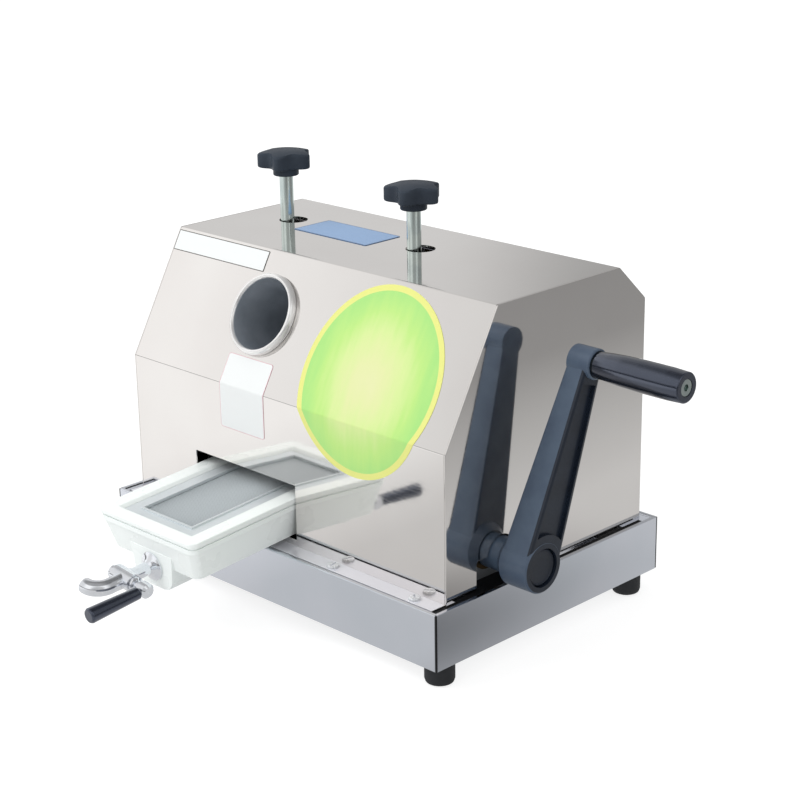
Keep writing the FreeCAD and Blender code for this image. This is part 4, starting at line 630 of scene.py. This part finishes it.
@dataclass(frozen=True)
class LabelFinish:
    """A printed film: a slow change of ink outwards from a centre, in millimetres, under a clear gloss."""

    name: str
    inks: tuple[str, ...]
    centre: Triple = (0.0, 0.0, 0.0)
    reach: Triple = (400.0, 400.0, 400.0)
    streaks: float = 0.0
    streak_mm: float = 7.6923
    streak_stretch: Triple = (1.0, 0.18, 0.18)
    streak_turn: float = 12.0
    roughness: float = 0.3
    coat: float = 0.3
    coat_roughness: float = 0.08

    def build(self) -> bpy.types.Material:
        """Make the printed film's material.

        Returns:
            The material.
        """
        ready = bpy.data.materials.get(self.name)
        if ready:
            return ready
        material = bpy.data.materials.new(self.name)
        material.use_nodes = True
        tree = material.node_tree
        tree.nodes.clear()
        place = add(tree, "ShaderNodeTexCoord")
        outward = add(tree, "ShaderNodeMapping", {"Vector": place.outputs["Object"]}, vector_type="TEXTURE")
        outward.inputs["Location"].default_value = [part * MM for part in self.centre]
        outward.inputs["Scale"].default_value = [part * MM for part in self.reach]
        run = add(tree, "ShaderNodeVectorMath", {0: outward.outputs["Vector"]}, operation="LENGTH")
        drawn = add(
            tree, "ShaderNodeMapping", {"Vector": place.outputs["Object"], "Scale": self.streak_stretch}
        )
        drawn.inputs["Rotation"].default_value = (0.0, math.radians(self.streak_turn), 0.0)
        streak = add(
            tree,
            "ShaderNodeTexNoise",
            {"Vector": drawn.outputs["Vector"], "Scale": 1 / (self.streak_mm * MM), "Detail": 2.0},
        )
        lean = add(tree, "ShaderNodeMath", {0: streak.outputs["Fac"], 1: 0.5}, operation="SUBTRACT")
        push = add(tree, "ShaderNodeMath", {0: lean.outputs[0], 1: self.streaks}, operation="MULTIPLY")
        spot = add(tree, "ShaderNodeMath", {0: run.outputs["Value"], 1: push.outputs[0]}, operation="ADD")
        ramp = add(tree, "ShaderNodeValToRGB", {"Fac": spot.outputs[0]})
        last = len(self.inks) - 1
        set_stops(ramp.color_ramp, [(step / last, linear(ink)) for step, ink in enumerate(self.inks)])
        shader = add(
            tree,
            "ShaderNodeBsdfPrincipled",
            {
                "Base Color": ramp.outputs["Color"],
                "Roughness": self.roughness,
                "IOR": 1.5,
                "Coat Weight": self.coat,
                "Coat Roughness": self.coat_roughness,
            },
        )
        add(tree, "ShaderNodeOutputMaterial", {"Surface": shader.outputs["BSDF"]})
        return material


# White vinyl film is a soft cool white with a clear gloss.
WHITE_FILM = LabelFinish("white_film", ("#e3e6e6", "#dfe2e2"))
# The printed border of the plate is a dark warm grey.
BORDER_INK = LabelFinish("grey_border_ink", ("#4c4a48", "#56534f"))
# The printed border of the card is a pale rose.
ROSE_INK = LabelFinish("rose_border_ink", ("#d9b3b8", "#cfa5ac"))
# Anodised aluminium plate dyed blue: even and softly glossy.
BLUE_FILM = LabelFinish("blue_anodised_plate", ("#7ea3cf", "#7ea3cf"), roughness=0.35)
# The plate's rim is dyed darker.
BLUE_EDGE = LabelFinish("blue_plate_edge", ("#4f719b", "#4f719b"), roughness=0.35)
# Middle of the oval's tints, in millimetres.
OVAL_MIDDLE = (87.5, -95.0, 214.0)
# Printed vinyl: straw in the middle turning to lime outwards, with faint upright streaks.
LIME_FILM = LabelFinish(
    "lime_gradient_film",
    ("#d8dba6", "#d5dc9e", "#cadf90", "#b2dc78", "#9ed676"),
    centre=OVAL_MIDDLE,
    reach=(66.0, 90.0, 74.0),
    streaks=0.35,
)
# The oval's border is printed in straw yellow.
STRAW_INK = LabelFinish(
    "straw_border_ink", ("#e2e08c", "#d9dc78"), centre=OVAL_MIDDLE, reach=(90.0, 90.0, 90.0)
)


@dataclass(frozen=True)
class Perforated:
    """Stainless sheet with punched round holes in square rows.

    The edge of a hole runs from the first to the second share of the pitch, measured from its middle.
    Its relief is only bump.
    """

    name: str = "punched_stainless"
    colour: str = "#bcc3c6"
    hole: str = "#969ea2"
    pitch_mm: float = 1.6
    hole_edge: tuple[float, float] = (0.24, 0.34)
    relief_mm: float = 0.1
    metallic: float = 0.3
    roughness: float = 0.55

    def build_on(self, lean: Matrix) -> bpy.types.Material:
        """Make the material.

        Args:
            lean: Place of the sheet's frame, which the rows of holes follow.

        Returns:
            The material.
        """
        material = bpy.data.materials.new(self.name)
        material.use_nodes = True
        tree = material.node_tree
        tree.nodes.clear()
        place = add(tree, "ShaderNodeTexCoord")
        rows = add(tree, "ShaderNodeMapping", {"Vector": place.outputs["Object"]}, vector_type="TEXTURE")
        rows.inputs["Location"].default_value = lean.to_translation()
        rows.inputs["Rotation"].default_value = lean.to_euler()
        flat = add(
            tree,
            "ShaderNodeVectorMath",
            {0: rows.outputs["Vector"], 1: (1.0, 1.0, 0.0)},
            operation="MULTIPLY",
        )
        cell = add(
            tree,
            "ShaderNodeTexVoronoi",
            {"Vector": flat.outputs["Vector"], "Scale": 1 / (self.pitch_mm * MM), "Randomness": 0.0},
        )
        cell.voronoi_dimensions = "2D"
        edge = add(tree, "ShaderNodeMapRange", fade(cell.outputs["Distance"], (*self.hole_edge, 0.0, 1.0)))
        tint = add(tree, "ShaderNodeMix", {"Factor": edge.outputs["Result"]}, data_type="RGBA")
        tint.inputs[6].default_value = linear(self.hole)
        tint.inputs[7].default_value = linear(self.colour)
        relief = add(
            tree, "ShaderNodeBump", {"Height": edge.outputs["Result"], "Distance": self.relief_mm * MM}
        )
        shader = add(
            tree,
            "ShaderNodeBsdfPrincipled",
            {
                "Base Color": tint.outputs[2],
                "Metallic": self.metallic,
                "Roughness": self.roughness,
                "Normal": relief.outputs["Normal"],
            },
        )
        add(tree, "ShaderNodeOutputMaterial", {"Surface": shader.outputs["BSDF"]})
        return material


# Punched stainless sheet reads as an even cool grey with a fine dotted grain.
PUNCHED_STEEL = Perforated()


@dataclass
class Hood:
    """Folded hood with its end panels, feed mouth, flange screws and blank plates, in millimetres.

    The plate, the card and the oval are placed across the juicer and up the sheet from the front bend,
    and the blue plate across and back on the flat top. The edges are left, right, near, far.
    """

    front_y: float = -114.3
    bend_z: float = 184.2
    slope: float = 29.27
    slope_length: float = 118.06
    bend_radius: float = 3.0
    flange_z: float = 63.5
    strip_front: float = -130.2
    strip_setback: float = 1.6
    feed_x: float = -47.5
    feed_s: float = 63.5
    feed_bore: float = 30.3
    bore_play: float = 0.3
    bore_start: float = -5.0
    film: float = 0.3
    film_clearance: float = 0.05
    plate: tuple[float, float, float, float] = (-183.5, -66.5, 97.5, 115.5)
    plate_corner: float = 0.8
    plate_border: float = 0.7
    card: tuple[float, float, float, float] = (-71.5, -17.5, -37.7, 26.5)
    card_corner: float = 2.5
    card_border: float = 0.5
    oval_centre: tuple[float, float] = (87.5, 36.0)
    oval_reach: tuple[float, float] = (72.3, 78.5)
    oval_border: float = 5.0
    blue: tuple[float, float, float, float] = (-103.0, -15.0, 1.2, 42.7)
    blue_corner: float = 1.5
    blue_border: float = 1.2
    blue_lift: float = 0.4
    blue_sheet: float = 0.35
    head_radius: float = 5.2
    head_height: float = 2.4
    head_turn: float = 35.0
    screw_spots: tuple[tuple[float, float], ...] = (
        (-159.3, -122.4),
        (-69.3, -122.8),
        (69.3, -122.8),
        (159.3, -122.4),
    )

    def build(self) -> None:
        """Make the hood's pieces."""
        # The foot strip in front of the panel gets the painted-light copy of the steel.
        recast("hood_shell", 0.35, 2, second=(self.on_strip, STRIP_PAINTED_LIGHT), nudge=self.open_gap)
        recast("left_side_panel", 0.5, 3)
        recast("right_side_panel", 0.5, 3)
        # The feed tube gets a painted-light copy of the steel outside and a painted-shade copy in its bore.
        recast("feed_tube", 0.9, 4, corner=25.0, finish=MOUTH_PAINTED_LIGHT, second=(self.in_bore, BORE_PAINTED_SHADE))
        self.screws()
        self.plates()

    def on_strip(self, spot: Vector) -> bool:
        """Tell whether a face belongs to the foot strip in front of the panel, which gets painted light."""
        return spot.y < (self.front_y - 0.3) * MM

    def open_gap(self, spot: Vector) -> Vector:
        """Draw the strip's front edge back, so that the dark gap to the base's lip shows."""
        return Vector((0, self.strip_setback * MM if spot.y < (self.strip_front + 0.2) * MM else 0.0, 0))

    def in_bore(self, spot: Vector) -> bool:
        """Tell whether a face of the feed tube lines its bore, which gets painted shade.

        Args:
            spot: The face's middle in metres.

        Returns:
            True on the lining.
        """
        angle = math.radians(self.slope)
        axis = Vector((0, math.cos(angle), -math.sin(angle)))
        mouth = Vector((self.feed_x, self.front_y + self.feed_s * math.sin(angle), 0))
        mouth.z = self.bend_z + self.feed_s * math.cos(angle)
        off = spot / MM - mouth
        inward = off.dot(axis)
        return (off - axis * inward).length < self.feed_bore + self.bore_play and inward > self.bore_start

    def screws(self) -> None:
        """Fix the front flange with slotted pan-head screws."""
        for number, (x, y) in enumerate(self.screw_spots, start=1):
            head = slotted_head(self.head_radius, self.head_height, self.head_turn * number)
            piece = finished(f"flange_screw_{number}", head, [SCREW_PLATE.build()])
            piece.data.transform(Matrix.Translation((x * MM, y * MM, self.flange_z * MM)))
            attach(piece, "frame")

    def folded(self, x: float, along: float, lift: float) -> Vector:
        """Find a place on the sheet.

        Args:
            x: Place across the hood.
            along: Distance up the sheet from the front bend, less than nothing below it.
            lift: Height off the sheet.

        Returns:
            The place in metres.
        """
        angle = math.radians(self.slope)
        tangent = self.bend_radius * math.tan(angle / 2)
        turn = min(max((along + tangent) / (2 * tangent), 0.0), 1.0) * angle
        centre = Vector((0, self.front_y + self.bend_radius, self.bend_z - tangent))
        out = Vector((0, -math.cos(turn), math.sin(turn)))
        up = Vector((0, math.sin(turn), math.cos(turn)))
        past = max(along - tangent, 0.0) + min(along + tangent, 0.0)
        spot = centre + out * (self.bend_radius + lift) + up * past
        return Vector((x, spot.y, spot.z)) * MM

    def film_piece(
        self, name: str, mesh: bmesh.types.BMesh, border: float, inks: list[LabelFinish]
    ) -> None:
        """Lay a flat outline, drawn across and along the sheet, over the bend as thin film.

        Args:
            name: Name of the piece.
            mesh: The outline with one face, in millimetres across and along.
            border: Width of the border ring.
            inks: Finish of the middle and of the border.
        """
        mesh.normal_update()
        ring = bmesh.ops.inset_region(
            mesh, faces=mesh.faces[:], thickness=border, use_boundary=True, use_even_offset=True
        )
        for face in ring["faces"]:
            face.material_index = 1
        tangent = self.bend_radius * math.tan(math.radians(self.slope) / 2)
        for level in (-tangent, -tangent / 3, tangent / 3, tangent):
            everything = mesh.verts[:] + mesh.edges[:] + mesh.faces[:]
            bmesh.ops.bisect_plane(
                mesh, geom=everything, plane_co=(0, level, 0), plane_no=(0, 1, 0), dist=1e-5
            )
        for vert in mesh.verts:
            vert.co = self.folded(vert.co.x, vert.co.y, self.film)
        mesh.normal_update()
        if sum(face.normal.y * face.calc_area() for face in mesh.faces) > 0:
            bmesh.ops.reverse_faces(mesh, faces=mesh.faces[:])
        piece = finished(name, mesh, [ink.build() for ink in inks], smooth=0.0)
        wall = piece.modifiers.new("film_thickness", "SOLIDIFY")
        wall.thickness = (self.film - self.film_clearance) * MM
        wall.offset = -1.0
        attach(piece, "frame")

    def plates(self) -> None:
        """Lay the blank plate, the blank card, the green oval and the blue plate."""
        plate = rounded_sheet(*self.plate, self.plate_corner)
        self.film_piece("blank_plate", plate, self.plate_border, [WHITE_FILM, BORDER_INK])
        card = rounded_sheet(*self.card, self.card_corner)
        self.film_piece("blank_card", card, self.card_border, [WHITE_FILM, ROSE_INK])
        oval = bmesh.new()
        bmesh.ops.create_circle(oval, cap_ends=True, segments=96, radius=1.0)
        bmesh.ops.scale(oval, vec=(*self.oval_reach, 1.0), verts=oval.verts[:])
        bmesh.ops.translate(oval, vec=(*self.oval_centre, 0.0), verts=oval.verts[:])
        self.film_piece("green_oval", oval, self.oval_border, [LIME_FILM, STRAW_INK])
        self.blue_plate()

    def blue_plate(self) -> None:
        """Lay the blue plate flat on the hood's top."""
        top = rounded_sheet(*self.blue, self.blue_corner)
        top.normal_update()
        ring = bmesh.ops.inset_region(
            top, faces=top.faces[:], thickness=self.blue_border, use_boundary=True, use_even_offset=True
        )
        for face in ring["faces"]:
            face.material_index = 1
        height = self.bend_z + self.slope_length * math.cos(math.radians(self.slope)) + self.blue_lift
        solid = bmesh.ops.extrude_face_region(top, geom=top.faces[:])
        lower = [item for item in solid["geom"] if isinstance(item, bmesh.types.BMVert)]
        bmesh.ops.translate(top, vec=(0, 0, -self.blue_sheet), verts=lower)
        bmesh.ops.recalc_face_normals(top, faces=top.faces[:])
        bmesh.ops.translate(top, vec=(0, 0, height), verts=top.verts[:])
        bmesh.ops.scale(top, vec=(MM, MM, MM), verts=top.verts[:])
        piece = finished("blue_plate", top, [BLUE_FILM.build(), BLUE_EDGE.build()])
        attach(piece, "frame")


def rounded_sheet(left: float, right: float, low: float, high: float, corner: float) -> bmesh.types.BMesh:
    """Draw a flat rectangle with rounded corners.

    Args:
        left: Left edge.
        right: Right edge.
        low: Near edge.
        high: Far edge.
        corner: Radius of the corners.

    Returns:
        A bmesh with one face.
    """
    mesh = bmesh.new()
    bmesh.ops.create_grid(mesh, x_segments=1, y_segments=1, size=0.5)
    bmesh.ops.scale(mesh, vec=(right - left, high - low, 1.0), verts=mesh.verts[:])
    bmesh.ops.translate(mesh, vec=((left + right) / 2, (low + high) / 2, 0.0), verts=mesh.verts[:])
    bmesh.ops.bevel(
        mesh, geom=mesh.verts[:], offset=corner, offset_type="OFFSET", affect="VERTICES", segments=5,
        profile=0.5, material=-1,
    )
    return mesh


def slotted_head(radius: float, height: float, turn: float) -> bmesh.types.BMesh:
    """Make a domed screw head with a cut slot, standing on its seat at the origin.

    Args:
        radius: Radius in millimetres.
        height: Height in millimetres.
        turn: Direction of the slot in degrees.

    Returns:
        The head in metres.
    """
    slot_half = 0.6
    slot_depth = 1.1
    narrowed = radius * 0.92
    mesh = bmesh.new()
    bmesh.ops.create_cone(
        mesh, cap_ends=True, segments=32, radius1=radius * MM, radius2=narrowed * MM, depth=height * MM
    )
    bmesh.ops.translate(mesh, vec=(0, 0, height / 2 * MM), verts=mesh.verts[:])
    top = [edge for edge in mesh.edges if all(vert.co.z > height * 0.9 * MM for vert in edge.verts)]
    bmesh.ops.bevel(
        mesh, geom=top, offset=height * 0.45 * MM, offset_type="OFFSET", affect="EDGES", segments=4,
        profile=0.5, material=-1,
    )
    for side in (-1, 1):
        everything = mesh.verts[:] + mesh.edges[:] + mesh.faces[:]
        edge_of_slot = (0, side * slot_half * MM, 0)
        bmesh.ops.bisect_plane(mesh, geom=everything, plane_co=edge_of_slot, plane_no=(0, 1, 0))
    strip = []
    for face in mesh.faces:
        middle = face.calc_center_median()
        if middle.z > height * 0.95 * MM and abs(middle.y) < slot_half * MM:
            strip.append(face)
    cut = bmesh.ops.extrude_face_region(mesh, geom=strip)
    bmesh.ops.delete(mesh, geom=strip, context="FACES")
    floor = [item for item in cut["geom"] if isinstance(item, bmesh.types.BMVert)]
    bmesh.ops.translate(mesh, vec=(0, 0, -slot_depth * MM), verts=floor)
    spun = Matrix.Rotation(math.radians(turn), 3, "Z")
    bmesh.ops.rotate(mesh, cent=(0, 0, 0), matrix=spun, verts=mesh.verts[:])
    return mesh


@dataclass
class Base:
    """Folded base tray on rubber feet, in millimetres."""

    panels: tuple[str, ...] = ("base_front_panel", "base_rear_panel")
    rails: tuple[str, ...] = ("base_left_rail", "base_right_rail")
    feet: tuple[str, ...] = ("foot_front_left", "foot_front_right", "foot_rear_left", "foot_rear_right")
    half_width: float = 193.2
    half_depth: float = 134.2
    bottom: float = 17.0
    top: float = 64.0
    seam: float = 1.5
    bead_radius: float = 0.72
    bead_inset: float = 0.76

    def build(self) -> None:
        """Make the base's pieces."""
        for panel in self.panels:
            recast(panel, 0.5, 3)
        for rail in self.rails:
            recast(rail, 0.5, 3, nudge=self.open_seam)
        # The deck is painted nearly black as the shade in the gaps where it shows.
        recast("base_deck", 0.3, 2, finish=PAINTED_SHADE_DECK)
        for foot in self.feet:
            recast(foot, 0.6, 3)
        self.seam_shadows()

    def open_seam(self, spot: Vector) -> Vector:
        """Draw the side rails' end faces back, so that the corner joints show."""
        end = abs(spot.y) > (self.half_depth - 0.1) * MM
        return Vector((0, math.copysign(self.seam * MM, -spot.y) if end else 0.0, 0))

    def seam_shadows(self) -> None:
        """Run a black bead down each corner joint as painted shadow of the seam."""
        across = self.half_width - self.bead_inset
        along = self.half_depth - self.bead_inset
        middle = (self.top + self.bottom) / 2
        for number, (x, y) in enumerate(((-1, -1), (1, -1), (1, 1), (-1, 1)), start=1):
            mesh = bmesh.new()
            bmesh.ops.create_cone(
                mesh, cap_ends=True, segments=12, radius1=self.bead_radius * MM,
                radius2=self.bead_radius * MM, depth=(self.top - self.bottom - 1.0) * MM,
            )
            bmesh.ops.translate(mesh, vec=Vector((x * across, y * along, middle)) * MM, verts=mesh.verts[:])
            attach(finished(f"corner_seal_{number}", mesh, [SEAM_SHADE_BEAD.build()]), "frame")


@dataclass
class Press:
    """Pressure rods with their domed star knobs, in millimetres.

    Each rod has its hand, its place across the juicer, the height of its knob's foot and the turn of the
    knob's first lobe.
    """

    rods: tuple[tuple[str, float, float, float], ...] = (
        ("left", -133.0, 327.4, 85.0),
        ("right", 22.0, 320.6, 78.0),
    )
    rod_y: float = 21.2
    collar: float = 7.0
    collar_radius: float = 11.2
    height: float = 15.4
    dome: float = 3.6
    reach: float = 24.4
    valley: float = 17.2
    lobes: int = 5
    lobe_sharpness: float = 1.25
    rod_radius: float = 6.0

    def build(self) -> None:
        """Make both hands' pieces."""
        for hand, x, z, turn in self.rods:
            recast(f"{hand}_screw", 0.3, 2)
            knob = self.star(x, z, turn)
            piece = finished(f"{hand}_star_grip", knob, [KNOB_PHENOLIC.build()], smooth=50.0)
            attach(piece, f"{hand}_press")
            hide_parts(f"{hand}_knob")

    def radius(self, angle: float) -> float:
        """Radius of the knob's outline at an angle from a lobe's tip, in radians."""
        wave = (1 + math.cos(self.lobes * angle)) / 2
        return self.valley + (self.reach - self.valley) * wave**self.lobe_sharpness

    def star(self, x: float, z: float, turn: float) -> bmesh.types.BMesh:
        """Shape one knob: a collar, wavy flanks and a domed top.

        Args:
            x: Place of the rod across the juicer.
            z: Height of the collar's foot.
            turn: Turn of the first lobe in degrees.

        Returns:
            The knob in metres.
        """
        foot = z + self.collar
        rim = foot + self.height - self.dome
        # Each step has its share of the outline, its height and its share of the dome.
        steps = (
            (0.93, foot, 0.0),
            (0.98, foot + 0.5, 0.0),
            (1.0, foot + 1.6, 0.0),
            (1.0, rim - 1.2, 0.0),
            (0.99, rim - 0.4, 0.6),
            (0.96, rim, 1.0),
            (0.85, rim, 1.0),
            (0.7, rim, 1.0),
            (0.52, rim, 1.0),
            (0.34, rim, 1.0),
            (0.16, rim, 1.0),
        )
        mesh = bmesh.new()
        bmesh.ops.create_circle(mesh, cap_ends=False, segments=160, radius=1.0)
        ring = mesh.edges[:]
        rings = [mesh.verts[:]]
        for _ in steps[1:]:
            grown = bmesh.ops.extrude_edge_only(mesh, edges=ring)["geom"]
            rings.append([item for item in grown if isinstance(item, bmesh.types.BMVert)])
            newest = set(rings[-1])
            ring = [item for item in grown if isinstance(item, bmesh.types.BMEdge)]
            ring = [edge for edge in ring if newest.issuperset(edge.verts)]
        for verts, (share, height, domed) in zip(rings, steps):
            for vert in verts:
                angle = math.atan2(vert.co.y, vert.co.x)
                reach = share * self.radius(angle - math.radians(turn))
                rise = domed * self.dome * (1 - (reach / self.reach) ** 2)
                vert.co = Vector((reach * math.cos(angle), reach * math.sin(angle), height + rise))
        bmesh.ops.contextual_create(mesh, geom=ring)
        self.skirt(mesh, set(rings[0]), z, foot)
        bmesh.ops.translate(mesh, vec=(x, self.rod_y, 0), verts=mesh.verts[:])
        bmesh.ops.scale(mesh, vec=(MM, MM, MM), verts=mesh.verts[:])
        bmesh.ops.recalc_face_normals(mesh, faces=mesh.faces[:])
        return mesh

    def skirt(self, mesh: bmesh.types.BMesh, rim: set[bmesh.types.BMVert], z: float, foot: float) -> None:
        """Draw the underside in to the collar and close the knob at its foot.

        Args:
            mesh: The knob, open below.
            rim: Corners of the open edge.
            z: Height of the collar's foot.
            foot: Height of the open edge.
        """
        edges = [edge for edge in mesh.edges if edge.is_boundary and rim.issuperset(edge.verts)]
        for reach, height in (
            (self.collar_radius, foot),
            (self.collar_radius, z + 0.5),
            (self.collar_radius - 0.5, z),
            (self.rod_radius, z),
        ):
            grown = bmesh.ops.extrude_edge_only(mesh, edges=edges)["geom"]
            verts = {item for item in grown if isinstance(item, bmesh.types.BMVert)}
            edges = [item for item in grown if isinstance(item, bmesh.types.BMEdge)]
            edges = [edge for edge in edges if verts.issuperset(edge.verts)]
            for vert in verts:
                angle = math.atan2(vert.co.y, vert.co.x)
                vert.co = Vector((reach * math.cos(angle), reach * math.sin(angle), height))


@dataclass
class Rollers:
    """Rollers, shafts, gears, bearings and the plates that carry them, which keep their CAD shapes."""

    kept: tuple[Slot, ...] = (Slot.CAST, Slot.ROLLER, Slot.GEAR, Slot.BRONZE)
    sheets: tuple[str, ...] = ("bagasse_chute", "feed_apron", "tray_cradle")

    def build(self) -> None:
        """Dress the nodes that stay."""
        for node, slot in NODE_SLOT.items():
            if slot in self.kept or node in self.sheets:
                dress(node)


def dress(node: str) -> None:
    """Give a CAD node that stays its slot's finish.

    Args:
        node: The CAD node.
    """
    piece = frame["nodes"][node]
    material = SLOT_FINISH[NODE_SLOT[node]].build()
    if not piece.material_slots:
        piece.data.materials.append(material)
    for place in piece.material_slots:
        place.material = material


@dataclass
class Crank:
    """Cast arm with its hub cap, grip and spindle, in millimetres.

    Each boss has the place of its axis along Y and Z and the least and greatest radius of its flank.
    """

    outer_side: float = 222.0
    bosses: tuple[tuple[float, float, float, float], ...] = (
        (-52.6, 87.3, 18.0, 24.0),
        (-4.35, 239.85, 10.5, 13.0),
    )

    def on_outer_side(self, spot: Vector) -> bool:
        """Tell whether a face belongs to the arm's pressed outer side and not to a boss's flank, where the
        enamel gets painted shade.

        Args:
            spot: The face's middle in metres.

        Returns:
            True on the pressed side.
        """
        if spot.x < self.outer_side * MM:
            return False
        for y, z, inner, outer in self.bosses:
            if inner < math.hypot(spot.y / MM - y, spot.z / MM - z) < outer:
                return False
        return True

    def build(self) -> None:
        """Make the crank's pieces."""
        # The pressed outer side and the cap get the nearly black copy of the enamel as painted shade.
        recast("crank_arm", 0.6, 3, corner=30.0, second=(self.on_outer_side, CRANK_PAINTED_SHADE))
        recast("crank_cap", 0.2, 2, finish=CRANK_PAINTED_SHADE)
        recast("grip_spindle", 0.2, 2)
        recast("crank_grip", 0.3, 2)


@dataclass
class Tray:
    """Milky tray with its lid and strainer, in millimetres of the tray's leaning frame."""

    corner: Triple = (-44.5, -114.3, 104.8)
    tilt: float = 4.5
    gate_half: float = 43.9
    gate_front: float = -93.0
    gate_back: float = 194.0
    gate_chamfer: float = 2.6
    mesh_half: float = 30.3
    mesh_front: float = -82.3
    mesh_back: float = 183.3
    mesh_corner: float = 2.0
    mesh_z: float = -3.9
    mesh_sheet: float = 0.25

    def build(self) -> None:
        """Make the tray's pieces."""
        recast("juice_tray", 0.9, 4, corner=30.0)
        recast("tray_lid", 1.1, 4, corner=40.0, wide=(self.at_gate, self.gate_chamfer))
        recast("strainer", 0.4, 3)
        self.perforated_sheet()

    def at_gate(self, spot: Vector) -> bool:
        """Tell whether an edge of the lid runs round the top of its opening.

        Args:
            spot: The edge's middle in metres.

        Returns:
            True on the opening's rim.
        """
        near = 0.05
        place = self.lean().inverted() @ spot / MM
        within = self.gate_front - 1 < place.y < self.gate_back + 1
        on_side = abs(abs(place.x) - self.gate_half) < near and within
        at_end = min(abs(place.y - self.gate_front), abs(place.y - self.gate_back)) < near
        return abs(place.z) < near and (on_side or (at_end and abs(place.x) < self.gate_half + 1))

    def lean(self) -> Matrix:
        """Place of the tray's frame, in metres."""
        turn = Matrix.Rotation(math.radians(self.tilt), 4, "X")
        return Matrix.Translation(Vector(self.corner) * MM) @ turn

    def perforated_sheet(self) -> None:
        """Lay the finely perforated sheet over the strainer's slots."""
        half = self.mesh_half
        mesh = rounded_sheet(-half, half, self.mesh_front, self.mesh_back, self.mesh_corner)
        bmesh.ops.translate(mesh, vec=(0, 0, self.mesh_z), verts=mesh.verts[:])
        bmesh.ops.scale(mesh, vec=(MM, MM, MM), verts=mesh.verts[:])
        bmesh.ops.transform(mesh, matrix=self.lean(), verts=mesh.verts[:])
        piece = finished("perforated_sheet", mesh, [PUNCHED_STEEL.build_on(self.lean())])
        wall = piece.modifiers.new("sheet_thickness", "SOLIDIFY")
        wall.thickness = self.mesh_sheet * MM
        wall.offset = -1.0
        attach(piece, "tray")


@dataclass
class Tap:
    """Chromed tap with its black grip."""

    chromed: tuple[str, ...] = ("tap_body", "tap_spout", "tap_plug", "tap_lever")

    def build(self) -> None:
        """Make the tap's pieces."""
        for node in self.chromed:
            recast(node, 0.3, 2, corner=35.0)
        recast("tap_grip", 0.3, 2)
        dress("tap_locknut")


def main() -> None:
    """Build the studio and the sub-assemblies in order."""
    logging.basicConfig(level=logging.INFO, format="%(message)s")
    bpy.context.scene.view_settings.view_transform = "Standard"
    Studio().build()
    for unit in (Hood(), Base(), Press(), Rollers(), Crank(), Tray(), Tap()):
        before = set(bpy.data.objects)
        unit.build()
        for piece in sorted(set(bpy.data.objects) - before, key=lambda item: item.name):
            log.info("%s: %s with %d faces", type(unit).__name__, piece.name, len(piece.data.polygons))


if __name__ == "__main__":
    main()
